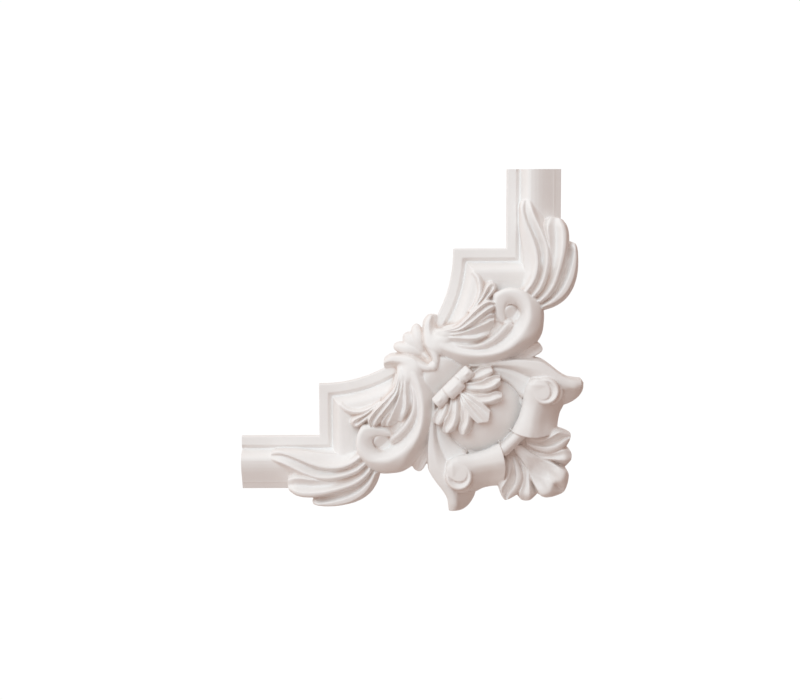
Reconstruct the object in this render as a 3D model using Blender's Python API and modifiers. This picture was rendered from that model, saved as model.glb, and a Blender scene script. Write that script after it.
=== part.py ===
"""Corner piece for wall panel moulding, cast in one piece of polyurethane.

The drawing sheet has x to the right and y down, in units of a 53rd of the moulding's width.
Ornament is set out where it is sighted from a point straight in front of the sheet, and
sighted() puts each point back where it truly stands. Heights are off the wall, in units.
The piece mirrors itself about the diagonal of the corner, so one half is drawn.
"""
import math

import bmesh
import bpy
import numpy as np
from mathutils import Matrix, Vector

for old in list(bpy.data.objects):
    bpy.data.objects.remove(old)

WIDTH_MM = 50.0  # width of the straight moulding that the two ends carry on
UNIT = WIDTH_MM / 53 / 1000  # metres
BOSS = (485.0, 413.0)  # sheet position of the origin, the middle of the boss
SIGHT = (400.0, 178.0)  # foot of the sighting point
SIGHT_FAR = 1455.0  # its distance
DIAG = 72.0  # the diagonal is y = x - DIAG
BACK = 4.0  # how far the raw pieces run behind the wall plane before they are trimmed


def sighted(x, y, h):
    k = 1 / (1 + h / SIGHT_FAR)
    return SIGHT[0] + (x - SIGHT[0]) * k, SIGHT[1] + (y - SIGHT[1]) * k


def points(rows):
    """Control points sighted at (x, y) and h off the wall, in true sheet places."""
    return np.array([(*sighted(x, y, h), h) for x, y, h in rows], float)


def hermite(knots, values, at, held=None):
    """Cubic through values at knots; held slopes never overshoot, and single rows are always held."""
    values = np.asarray(values, float)
    flat = values.ndim == 1
    held = flat if held is None else held
    if flat:
        values = values[:, None]
    if len(values) == 1:
        out = np.repeat(values, len(at), axis=0)
        return out[:, 0] if flat else out
    d = np.diff(knots)[:, None]
    s = np.diff(values, axis=0) / d
    m = np.empty_like(values)
    m[0], m[-1] = s[0], s[-1]
    if len(values) > 2:
        mid = (s[:-1] * d[1:] + s[1:] * d[:-1]) / (d[1:] + d[:-1])
        if held:
            lim = 2.5 * np.minimum(abs(s[:-1]), abs(s[1:]))
            mid = np.where(s[:-1] * s[1:] <= 0, 0, np.clip(mid, -lim, lim))
        m[1:-1] = mid
    i = np.clip(np.searchsorted(knots, at, side="right") - 1, 0, len(knots) - 2)
    u = ((at - np.asarray(knots)[i]) / d[i, 0])[:, None]
    a, b = values[i], values[i + 1]
    ma, mb = m[i] * d[i], m[i + 1] * d[i]
    out = (
        (2 * u**3 - 3 * u**2 + 1) * a
        + (u**3 - 2 * u**2 + u) * ma
        + (3 * u**2 - 2 * u**3) * b
        + (u**3 - u**2) * mb
    )
    return out[:, 0] if flat else out


def run(rows, at):
    """The curve through control points, read at 0..1 of its length in plan."""
    rows = np.asarray(rows, float)
    step = np.hypot(*np.diff(rows[:, :2], axis=0).T)
    knots = np.concatenate([[0], np.cumsum(step)])
    return hermite(knots / knots[-1], rows, at), knots / knots[-1]


# Cross sections of a finger of relief, from one edge to the other: share of the half width,
# share of the edge's fall, share of the hollow's depth.
SPOON = [(-1, -1, 0), (-0.93, -0.45, 0), (-0.8, -0.1, 0), (-0.64, 0, 0), (-0.44, 0, -0.22), (-0.24, 0, -0.75), (0, 0, -1),
         (0.24, 0, -0.75), (0.44, 0, -0.22), (0.64, 0, 0), (0.8, -0.1, 0), (0.93, -0.45, 0), (1, -1, 0)]
DOME = [(-1, -1, 0), (-0.9, -0.56, 0), (-0.68, -0.27, 0), (-0.36, -0.07, 0), (0, 0, 0), (0.36, -0.07, 0), (0.68, -0.27, 0), (0.9, -0.56, 0), (1, -1, 0)]
FLAT = [(-1, -1, 0), (-0.96, -0.4, 0), (-0.88, -0.08, 0), (-0.4, 0, 0), (0, 0, 0), (0.4, 0, 0), (0.88, -0.08, 0), (0.96, -0.4, 0), (1, -1, 0)]


def along_knots(values, knots, at):
    """A number, or a list of them along the spine: one for each of its points, or evenly spaced."""
    if np.ndim(values) == 0:
        return np.full(len(at), float(values))
    where = knots if len(values) == len(knots) else np.linspace(0, 1, len(values))
    return hermite(where, np.asarray(values, float), at)


class Heap:
    """Closed pieces of mesh that are cast into one body."""

    def __init__(self, fine):
        self.fine = fine  # spacing of the raw mesh, units
        self.verts, self.faces, self.count = [], [], 0

    def add(self, verts, faces, both=False):
        """Takes a closed piece, and its twin across the diagonal."""
        verts = np.asarray(verts, float)
        self.verts.append(verts)
        self.faces += [tuple(int(i) + self.count for i in f) for f in faces]
        self.count += len(verts)
        if both:
            twin = verts.copy()
            twin[:, 0], twin[:, 1] = verts[:, 1] + DIAG, verts[:, 0] - DIAG
            self.add(twin, [f[::-1] for f in faces])

    def add_bmesh(self, bm, both=False):
        bm.verts.index_update()
        self.add([v.co[:] for v in bm.verts], [[v.index for v in f.verts][::-1] for f in bm.faces], both)
        bm.free()

    def slab(self, grid, foot=-BACK, both=True):
        """A grid of (x, y, h) given walls down to the foot and a bottom."""
        grid = np.asarray(grid, float)
        na, nt = grid.shape[:2]
        edge = (
            [(0, j) for j in range(nt)]
            + [(i, nt - 1) for i in range(1, na)]
            + [(na - 1, j) for j in range(nt - 2, -1, -1)]
            + [(i, 0) for i in range(na - 2, 0, -1)]
        )
        ring = np.array([grid[a, b, :2] for a, b in edge])
        turn = np.sum(ring[:, 0] * np.roll(ring[:, 1], -1) - ring[:, 1] * np.roll(ring[:, 0], -1))
        low = grid.copy()
        low[..., 2] = foot
        verts = np.concatenate([grid.reshape(-1, 3), low.reshape(-1, 3)])
        n = na * nt
        i, j = np.meshgrid(np.arange(na - 1), np.arange(nt - 1), indexing="ij")
        a = (i * nt + j).ravel()
        top = np.stack([a, a + 1, a + nt + 1, a + nt], 1)
        faces = [tuple(f) for f in top] + [tuple(f[::-1] + n) for f in top]
        ids = [a * nt + b for a, b in edge]
        for p, q in zip(ids, ids[1:] + ids[:1]):
            faces.append((p, p + n, q + n, q))
        if turn > 0:
            faces = [f[::-1] for f in faces]
        self.add(verts, faces, both)

    def lobe(self, spine, left, right, fall, section=SPOON, cut=0, tip=0.8, root=0.0, nose=0.0, blunt=2.0, lean=0, foot=-BACK, both=True):
        """A finger of relief along a spine, root to tip: width to each side, how far its edges fall, how deep its hollow is cut.

        tip and root are the shares of the length where the rounding of the ends starts, blunt how square that rounding is,
        nose how far the crest drops at an end, and lean how much one side stands over the other.
        """
        rows = points(spine)
        length = np.hypot(*np.diff(rows[:, :2], axis=0).T).sum()
        nt = max(6, int(length / self.fine))
        at = np.linspace(0, 1, nt)
        power = 2 / blunt
        if tip < 1:
            swing = np.linspace(0, math.pi / 2, max(5, nt // 3))
            at = np.concatenate([at[at < tip], tip + (1 - tip) * np.sin(swing) ** power])
        if root > 0:
            swing = np.linspace(math.pi / 2, 0, max(5, nt // 3))
            at = np.concatenate([root - root * np.sin(swing) ** power, at[at > root]])
        at = np.unique(np.round(at, 6))
        centre, knots = run(rows, at)
        before, after = run(rows, np.clip(at - 0.01, 0, 1))[0], run(rows, np.clip(at + 0.01, 0, 1))[0]
        along = after[:, :2] - before[:, :2]
        along /= np.hypot(*along.T)[:, None]
        side = np.stack([-along[:, 1], along[:, 0]], 1)
        swell = np.ones(len(at))
        if tip < 1:
            swell = np.clip(1 - (np.clip(at - tip, 0, None) / (1 - tip)) ** blunt, 0, 1) ** (1 / blunt)
        if root > 0:
            swell *= np.clip(1 - (np.clip(root - at, 0, None) / root) ** blunt, 0, 1) ** (1 / blunt)
        swell = np.maximum(swell, 0.02)
        stack = section if isinstance(section[0], list) else [section]
        stack = np.array(stack, float)  # sections along the spine, all with as many points
        where = np.linspace(0, 1, len(stack))
        shape = np.array([[np.interp(at, where, stack[:, k, c]) for c in (0, 1, 2)] for k in range(stack.shape[1])])
        wl, wr = along_knots(left, knots, at), along_knots(right, knots, at)
        fall, cut, lean = (along_knots(v, knots, at) for v in (fall, cut, lean))
        widest = float(max(np.max(wl), np.max(wr)))
        na = max(11, int(2.2 * widest / self.fine))
        across = np.linspace(-1, 1, na)
        grid = np.empty((na, len(at), 3))
        for j in range(len(at)):
            offs = shape[:, 0, j]
            h = hermite(offs, shape[:, 1, j] * fall[j] + shape[:, 2, j] * cut[j] * swell[j], across)
            w = np.where(across < 0, wl[j], wr[j]) * swell[j]
            grid[:, j, :2] = centre[j, :2] + side[j] * (across * w)[:, None]
            grid[:, j, 2] = centre[j, 2] + h + lean[j] * across * swell[j] - nose * (1 - swell[j])
        self.slab(grid, foot, both)

    def loft(self, lines, fold=False, foot=-BACK, both=True):
        """A skin across ridges, hollows and edges that run side by side from root to tip.

        fold takes the lines from one edge to the diagonal, and adds their twins beyond it.
        """
        rows = [points(line) for line in lines]
        longest = max(np.hypot(*np.diff(r[:, :2], axis=0).T).sum() for r in rows)
        at = np.linspace(0, 1, max(6, int(longest / self.fine)))
        runs = np.array([run(r, at)[0] for r in rows])
        if fold:
            runs[-1, :, :2] = np.stack([(runs[-1, :, 0] + runs[-1, :, 1] + DIAG) / 2, (runs[-1, :, 0] + runs[-1, :, 1] - DIAG) / 2], 1)
            twins = runs[-2::-1].copy()
            twins[..., 0], twins[..., 1] = runs[-2::-1, :, 1] + DIAG, runs[-2::-1, :, 0] - DIAG
            runs, both = np.concatenate([runs, twins]), False
        gaps = np.hypot(*np.moveaxis(np.diff(runs[..., :2], axis=0), 2, 0)).mean(axis=1)
        knots = np.concatenate([[0], np.cumsum(np.maximum(gaps, 0.2))])
        across = np.unique(np.concatenate([knots, np.linspace(0, knots[-1], max(11, int(1.4 * knots[-1] / self.fine)))]))
        grid = np.empty((len(across), len(at), 3))
        for c in range(3):
            grid[..., c] = hermite(knots, runs[..., c], across, held=c == 2)
        self.slab(grid, foot, both)

    def disc(self, centre, radii, profile, turn=0.0, ring=None, tilt=(0, 0), foot=-BACK, both=True):
        """A round or oval button: profile is (share of the radius, height) from the middle out.

        ring is (share, depth, angle): a furrow that is deepest at one angle and gone at the other.
        tilt is how much the button rises along x and along y, as a slope.
        """
        x, y = sighted(*centre)
        h, (rx, ry) = centre[2], radii
        n = max(24, int(2 * math.pi * max(rx, ry) / self.fine))
        m = max(8, int(1.5 * max(rx, ry) / self.fine))
        share = np.linspace(0, 1, m)
        prof = np.asarray(profile, float)
        height = hermite(prof[:, 0], prof[:, 1], share)
        ang = np.linspace(0, 2 * math.pi, n, endpoint=False)
        c, s = math.cos(math.radians(turn)), math.sin(math.radians(turn))
        verts = [(x, y, h + height[0])]
        for r, dh in zip(share[1:], height[1:]):
            for a in ang:
                px, py = r * rx * math.cos(a), r * ry * math.sin(a)
                qx, qy = px * c - py * s, px * s + py * c
                deep = 0.0
                if ring:
                    facing = math.atan2(qy, qx) - math.radians(ring[2])
                    deep = ring[1] * (0.5 + 0.5 * math.cos(facing)) * math.exp(-(((r - ring[0]) / 0.09) ** 2))
                verts.append((x + qx, y + qy, h + dh - deep + tilt[0] * qx + tilt[1] * qy))
        last = 1 + (m - 2) * n
        bottom = len(verts)
        verts += [(v[0], v[1], foot) for v in verts[last : last + n]]
        faces = [(0, 1 + (k + 1) % n, 1 + k) for k in range(n)]
        for k0 in range(m - 2):
            a, b = 1 + k0 * n, 1 + (k0 + 1) * n
            faces += [(a + k, a + (k + 1) % n, b + (k + 1) % n, b + k) for k in range(n)]
        faces += [(last + k, last + (k + 1) % n, bottom + (k + 1) % n, bottom + k) for k in range(n)]
        faces.append(tuple(range(bottom + n - 1, bottom - 1, -1)))
        self.add(verts, faces, both)

    def ball(self, centre, radii, turn=0.0, both=False):
        """An egg sunk into the body, from a UV sphere."""
        x, y = sighted(*centre)
        bm = bmesh.new()
        place = Matrix.Translation((x, y, centre[2])) @ Matrix.Rotation(math.radians(turn), 4, "Z") @ Matrix.Diagonal((*radii, 1))
        bmesh.ops.create_uvsphere(bm, u_segments=96, v_segments=48, radius=1, matrix=place)
        self.add_bmesh(bm, both)

    def bar(self, start, end, radius, both=False):
        """A round bar between two sighted points, from a cylinder with eased ends."""
        a, b = Vector((*sighted(*start), start[2])), Vector((*sighted(*end), end[2]))
        bm = bmesh.new()
        place = Matrix.Translation((a + b) / 2) @ (b - a).to_track_quat("Z", "Y").to_matrix().to_4x4()
        bmesh.ops.create_cone(bm, cap_ends=True, segments=48, radius1=radius, radius2=radius, depth=(b - a).length, matrix=place)
        rims = [e for e in bm.edges if len(e.link_faces) == 2 and any(len(f.verts) > 4 for f in e.link_faces)]
        bmesh.ops.bevel(bm, geom=rims, offset=radius * 0.3, segments=4, profile=0.5, affect="EDGES")
        self.add_bmesh(bm, both)

    def plate(self, centre, radius, top, both=False):
        """A round ground plate, from a cylinder that ends behind the wall plane."""
        x, y = sighted(*centre)
        bm = bmesh.new()
        place = Matrix.Translation((x, y, (top - BACK) / 2))
        bmesh.ops.create_cone(bm, cap_ends=True, segments=72, radius1=radius, radius2=radius, depth=top + BACK, matrix=place)
        self.add_bmesh(bm, both)


# ---- the moulding: its section, from the inner edge outwards (offset, height) ----
PROFILE = [
    (0.0, 0.0), (0.0, 6.6), (0.5, 7.2), (8.6, 7.5), (9.0, 7.2), (12.6, 3.3), (13.2, 3.7), (14.4, 7.6), (16.0, 11.8), (18.0, 15.4),
    (20.0, 17.4), (22.5, 18.1), (26.0, 17.8), (30.0, 16.8), (34.0, 15.1), (37.0, 13.5), (40.0, 11.8), (43.0, 10.1), (45.4, 8.8), (46.2, 8.6),
    (46.9, 7.9), (50.0, 6.2), (53.0, 4.7), (53.0, 0.0),
]
STUB_X, STUB_TOP, STEP_Y = 506.0, 170.5, 248.0  # inner edge of the upright stub, its cut end, the step
SWEEP = (323.5, 251.5, 130.0)  # centre and inner radius of the swept rail
STEP_X = SWEEP[0] + SWEEP[2]


def moulding(heap):
    # upright stub, mitred at the step, and the level run up to the mitre with the sweep
    section = [(o, h if 0 < k < len(PROFILE) - 1 else -BACK) for k, (o, h) in enumerate(PROFILE)]
    step = max(heap.fine, 1.0) * 2
    runs, sweep = [], []
    for o, h in section:
        ups = np.linspace(STUB_TOP - 3, STEP_Y + o, max(2, int(80 / step)))
        acr = np.linspace(STUB_X + o, STEP_X + o - 0.5, max(2, int(54 / step)))[1:]
        runs.append([(STUB_X + o, y, h) for y in ups] + [(x, STEP_Y + o, h) for x in acr])
        r = SWEEP[2] + o
        lo, hi = -8.0, 60.0
        for _ in range(40):
            mid = (lo + hi) / 2
            far = math.hypot(SWEEP[2] + mid, STEP_Y - SWEEP[1] + mid)
            lo, hi = (mid, hi) if far < r else (lo, mid)
        start = math.atan2(STEP_Y - SWEEP[1] + lo, SWEEP[2] + lo)
        turns = np.linspace(start, math.radians(45.2), max(12, int(100 / step)))
        sweep.append([(SWEEP[0] + r * math.cos(a), SWEEP[1] + r * math.sin(a), h) for a in turns])
    heap.slab(runs, -BACK - 0.01)
    heap.slab(sweep, -BACK - 0.01)


def fan_leaf(heap):
    # three gouged lobes that lean out over the step, from the inner one to the outer one
    heap.loft([
        [(519.5, 291, 17), (522.5, 283, 17), (523.5, 273, 17), (523.5, 262, 17.5), (522.5, 250, 17.8), (521, 239, 17.8), (519.6, 227, 17.6), (519.2, 216, 17.4), (519.2, 207, 17.2), (520.6, 201.6, 17)],
        [(523.3, 290.5, 24.5), (526.8, 283.5, 23.4), (529.6, 275, 22.8), (531, 265, 22.8), (530.2, 254, 22.8), (527.6, 242, 23.2), (524, 230, 23), (521, 217.5, 22), (520.4, 207, 20.5), (522.2, 201, 17.5)],
        [(524.3, 290.8, 28), (529.2, 284, 28.8), (532.9, 275.3, 28.8), (534.8, 265, 28.4), (534, 254, 27.4), (531, 242, 25.6), (526.4, 230, 24), (522.4, 217.5, 22.8), (521.4, 207.3, 21), (523, 201, 17.7)],
        [(526, 291, 28.5), (531, 284.5, 29.5), (535.2, 275.5, 29.5), (537.2, 265, 29), (536.5, 254, 28), (533.3, 242, 26.3), (528.5, 230, 24.7), (523.9, 217.5, 23.2), (522.4, 207.5, 21), (523.6, 201, 17.8)],
        [(529.5, 294, 22), (534.5, 287, 22.4), (538.8, 278, 22.4), (541, 267, 21.6), (540.8, 256, 20.4), (537.8, 243, 19.5), (532.7, 231, 19.8), (527.2, 219, 19.8), (524.9, 209, 18.8), (525, 204, 17.8), (525.5, 199.8, 16.5)],
        [(532.5, 295.5, 28), (538.3, 288.5, 29.5), (542.3, 279.5, 30), (545, 269.5, 30.5), (546.3, 259, 30.5), (545.8, 248, 29.5), (542.3, 236, 28), (538, 226, 26.5), (533.3, 216, 24.8), (530.3, 207.5, 22.5), (528.5, 200.6, 18)],
        [(534, 296.5, 26), (540.2, 289.5, 28), (544.5, 280.5, 28.8), (547.3, 270.5, 29.3), (548.6, 259.5, 29.3), (548, 248, 28), (545, 236.5, 24.5), (541.4, 226, 21.4), (537, 216, 19.4), (533.6, 207.7, 18.3), (530.8, 201, 16.8)],
        [(536, 297.5, 15), (542.5, 291, 15), (547.3, 282, 15.5), (550.2, 271.5, 16), (551.5, 260, 16), (550.5, 248, 16), (547.6, 236, 15.5), (545, 225.3, 14.5), (541.6, 216, 15), (537.6, 207.5, 15.6), (533, 201.3, 15.6)],
    ])
    heap.loft([
        [(533, 297, 20), (540, 290, 20.8), (545, 281, 21.3), (547.8, 271, 21.6), (548.8, 260, 22), (548, 250, 21.5), (545.8, 240, 22.5), (543.8, 231, 21.5), (543.2, 224.5, 19.5), (544.8, 220, 17.5)],
        [(534.5, 298, 20), (541.5, 291, 21.6), (546.8, 282, 22.2), (549.5, 272, 22.6), (550.3, 261, 24), (549.8, 250, 27.5), (548.3, 240, 30), (546.8, 231, 30), (546.8, 225, 28.8), (548.7, 218, 24)],
        [(536.5, 299.5, 22.5), (543.2, 293, 23.4), (548.8, 284, 24), (552.4, 273.5, 24.4), (554.6, 262, 24.6), (555.2, 251, 24.6), (555, 240, 25), (554.4, 231, 25.4), (554, 225.5, 25.6), (554.6, 217.6, 22.6)],
        [(538.5, 300.8, 28.5), (545.5, 294, 30.5), (551.6, 285.2, 31.8), (555.8, 274, 33), (558.8, 262.5, 34), (561, 251, 34.3), (561.8, 240.5, 33.8), (561.3, 231, 32.8), (559.8, 225.3, 31.2), (558, 218.4, 25)],
        [(539.5, 301.5, 28), (547, 295.2, 30), (553.5, 286.3, 31.2), (558, 275, 32.3), (561.5, 263, 33.3), (564.2, 251.5, 33.3), (565.4, 240.5, 32.6), (564.8, 231, 31.4), (563, 225, 29.5), (560, 219.2, 24)],
        [(541, 303, 20), (549.5, 297, 20.6), (556.5, 288, 21), (561.5, 276.5, 21), (564.8, 264.5, 20.4), (567, 252.5, 18.5), (568.2, 241, 16), (567.6, 232, 17), (565.4, 225, 18), (561.8, 220.2, 18)],
    ])
    heap.loft([
        [(538, 301.5, 20), (547, 294.5, 20.6), (553, 285, 21), (558, 274, 21), (562, 262, 20.4), (565, 253, 19), (567.3, 247, 19.5), (568.5, 243.3, 20)],
        [(541, 304, 21.5), (550, 298.2, 22.2), (558.2, 289.5, 22.6), (564, 278.2, 22.6), (567.3, 267, 22), (569.5, 257, 21.2), (570.8, 250.5, 23), (571.6, 246, 26.4), (571.6, 242.2, 23)],
        [(542, 305.5, 28.5), (550.8, 300.6, 29.5), (559.6, 292, 30), (565.8, 281.5, 30), (569.8, 270.5, 29.5), (572, 260.5, 29), (573.2, 253, 28.3), (573.6, 247.5, 28), (573, 242.8, 24)],
        [(542.3, 307, 27.5), (552, 302.6, 29), (562.3, 295, 29.6), (569.3, 284.5, 29.6), (573.5, 272.5, 29), (575.3, 261.5, 28.2), (575.6, 253.3, 27.2), (575, 246.8, 26), (574.2, 243.4, 23)],
        [(542, 310, 8), (554, 306, 7), (565, 298.5, 6), (572.2, 288, 6), (576.2, 275.5, 7), (577.3, 262, 8), (577, 253.5, 10), (576, 247, 14), (574.7, 243.8, 16)],
    ])
    # the ground where the lobes spring from the volute
    heap.plate((536, 296, 12), 9, 12, both=True)


def scroll(heap):
    # the ring of the volute, from its outer foot over the crest to the bottom of its channel, tail to eye
    heap.loft([
        [(428, 346, 12), (436.5, 353.5, 15), (450, 360.8, 14), (462, 365.4, 12), (474, 368.3, 10), (486, 368, 8), (497, 365.3, 7), (507, 361.8, 6), (517, 357.3, 5), (528, 350, 4), (537, 341.3, 4),
         (541.7, 333, 14), (543.6, 322, 17), (543.6, 311, 17), (541, 301.8, 16), (536, 294.6, 11), (528.8, 289, 13), (520, 286.3, 14), (510, 285.8, 14), (501, 288, 13), (495, 292.6, 12),
         (493.3, 300, 19), (494, 308, 22), (495.5, 316, 22), (498.6, 322.4, 20), (503.3, 325.2, 18)],
        [(430, 341.5, 17), (437, 347.5, 23), (447, 352.5, 24.5), (457, 356, 25.5), (468, 358.7, 26.5), (480, 359.8, 27), (492, 359, 27.5), (503, 356.3, 28), (513.8, 351, 28.3), (524.8, 344.3, 26.3),
         (534.6, 335.6, 27.4), (539.4, 322.5, 27.4), (539.9, 311, 26.8), (536.8, 301.2, 26.4), (529.3, 294.8, 27), (522.5, 290.2, 27.3), (515, 288.2, 27.5), (507.5, 288.2, 27.3), (501, 290.3, 26.6), (496.6, 294.5, 25.5),
         (495, 301.3, 25.6), (495.5, 308.7, 25.6), (497, 316, 24.6), (499.9, 321.4, 22), (503.8, 324, 19.5)],
        [(432, 338, 20), (438, 343, 25.8), (446.5, 347.8, 28), (456, 351, 29.6), (468, 353.6, 31.6), (480, 354.6, 33.2), (491, 353.6, 34.7), (502, 350.6, 35.7), (512, 345.3, 36.2), (519.3, 337.8, 36.2), (525, 329.8, 35.7),
         (528.8, 321, 35.2), (529.8, 311.5, 34.2), (529, 303.5, 33.4), (524.5, 297.3, 32.7), (518.3, 293, 32.2), (511, 291.5, 31.7), (504.3, 292.3, 31.2), (499.4, 295.9, 30.6), (497.7, 302, 29.8),
         (497.9, 309, 28.5), (499.2, 315.5, 27), (501.8, 319.7, 25.5), (504.5, 322.2, 23)],
        [(435, 333, 19), (441, 338, 24), (449, 342.3, 26), (458, 346.3, 27), (469, 349.3, 28.3), (480, 350.3, 29.3), (489.3, 349.3, 30.2), (498.3, 345.8, 31), (507, 340.6, 31.2), (514.3, 334.2, 31), (519.3, 327, 30.6),
         (522.3, 319.5, 30), (523.3, 312, 29), (521.7, 306.3, 28.6), (518.4, 302.3, 28.6), (514.2, 299.4, 28.8), (509.5, 298.6, 29), (506.3, 300.2, 29), (504.5, 303.5, 28.5), (504, 308.5, 27),
         (504.2, 314, 25.5), (504.7, 319, 24), (505.7, 322, 22)],
        [(437, 329, 15), (444, 334, 20), (452, 338, 22), (461, 342.5, 23), (470, 345.5, 24), (480, 347, 24), (488.6, 345, 24), (496.6, 340.6, 24), (503.6, 335, 24), (509.5, 329.3, 22.5), (513.8, 323.5, 21),
         (517.2, 318.5, 17.6), (519.4, 312.5, 16.8), (518.5, 307.4, 16.6), (516.1, 303.7, 17), (513, 301.8, 17.6), (510.3, 301.3, 18), (507.6, 302.4, 19), (505.6, 305.2, 20), (505, 309, 20.2),
         (505.7, 314, 12), (506.5, 319, 13), (507.5, 322, 14)],
    ])
    # the inner ridge beside the channel
    heap.loft([
        [(446, 345, 18), (458, 348.8, 21), (469, 350.3, 22), (480, 350, 23), (489.5, 348, 23.5), (498, 343.3, 23.5), (505, 337.3, 23), (510.8, 331, 22), (514.8, 325, 19)],
        [(446, 341.5, 21), (457, 345.2, 26.3), (468, 346.8, 28.5), (479.5, 346.2, 30.5), (489, 342.8, 32), (497, 337.8, 32.8), (503, 332.2, 32.6), (507.8, 327, 31), (511.3, 322.3, 27)],
        [(446, 339, 21.5), (456.5, 343, 26.8), (467.5, 344.6, 29), (479, 343.8, 31.2), (488, 340, 32.7), (495.5, 334.8, 33.4), (501.2, 329.2, 33.2), (505.6, 324.4, 31.6), (508.6, 321, 27.5)],
        [(446, 336.5, 18), (456, 340.3, 19), (467, 342, 18), (478, 341.6, 18), (486, 337.8, 18), (493.2, 332.8, 18), (498.6, 327.4, 18), (502.6, 323, 18), (506, 320.3, 17)],
    ])
    heap.disc((511, 312.4, 20.6), (8, 8.6), [(0, 0.8), (0.6, 0.5), (0.82, -0.2), (0.93, -1.3), (1, -3.4)], tilt=(-0.5, -0.46))
    heap.ball((506.8, 320.6, 12), (7, 4.6, 13.5))
    heap.ball((513.2, 320.2, 10), (5, 4, 11))
    heap.plate((512, 311, 16), 13, 18.6, both=True)
    heap.plate((495, 315, 16), 5, 22.5, both=True)


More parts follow.
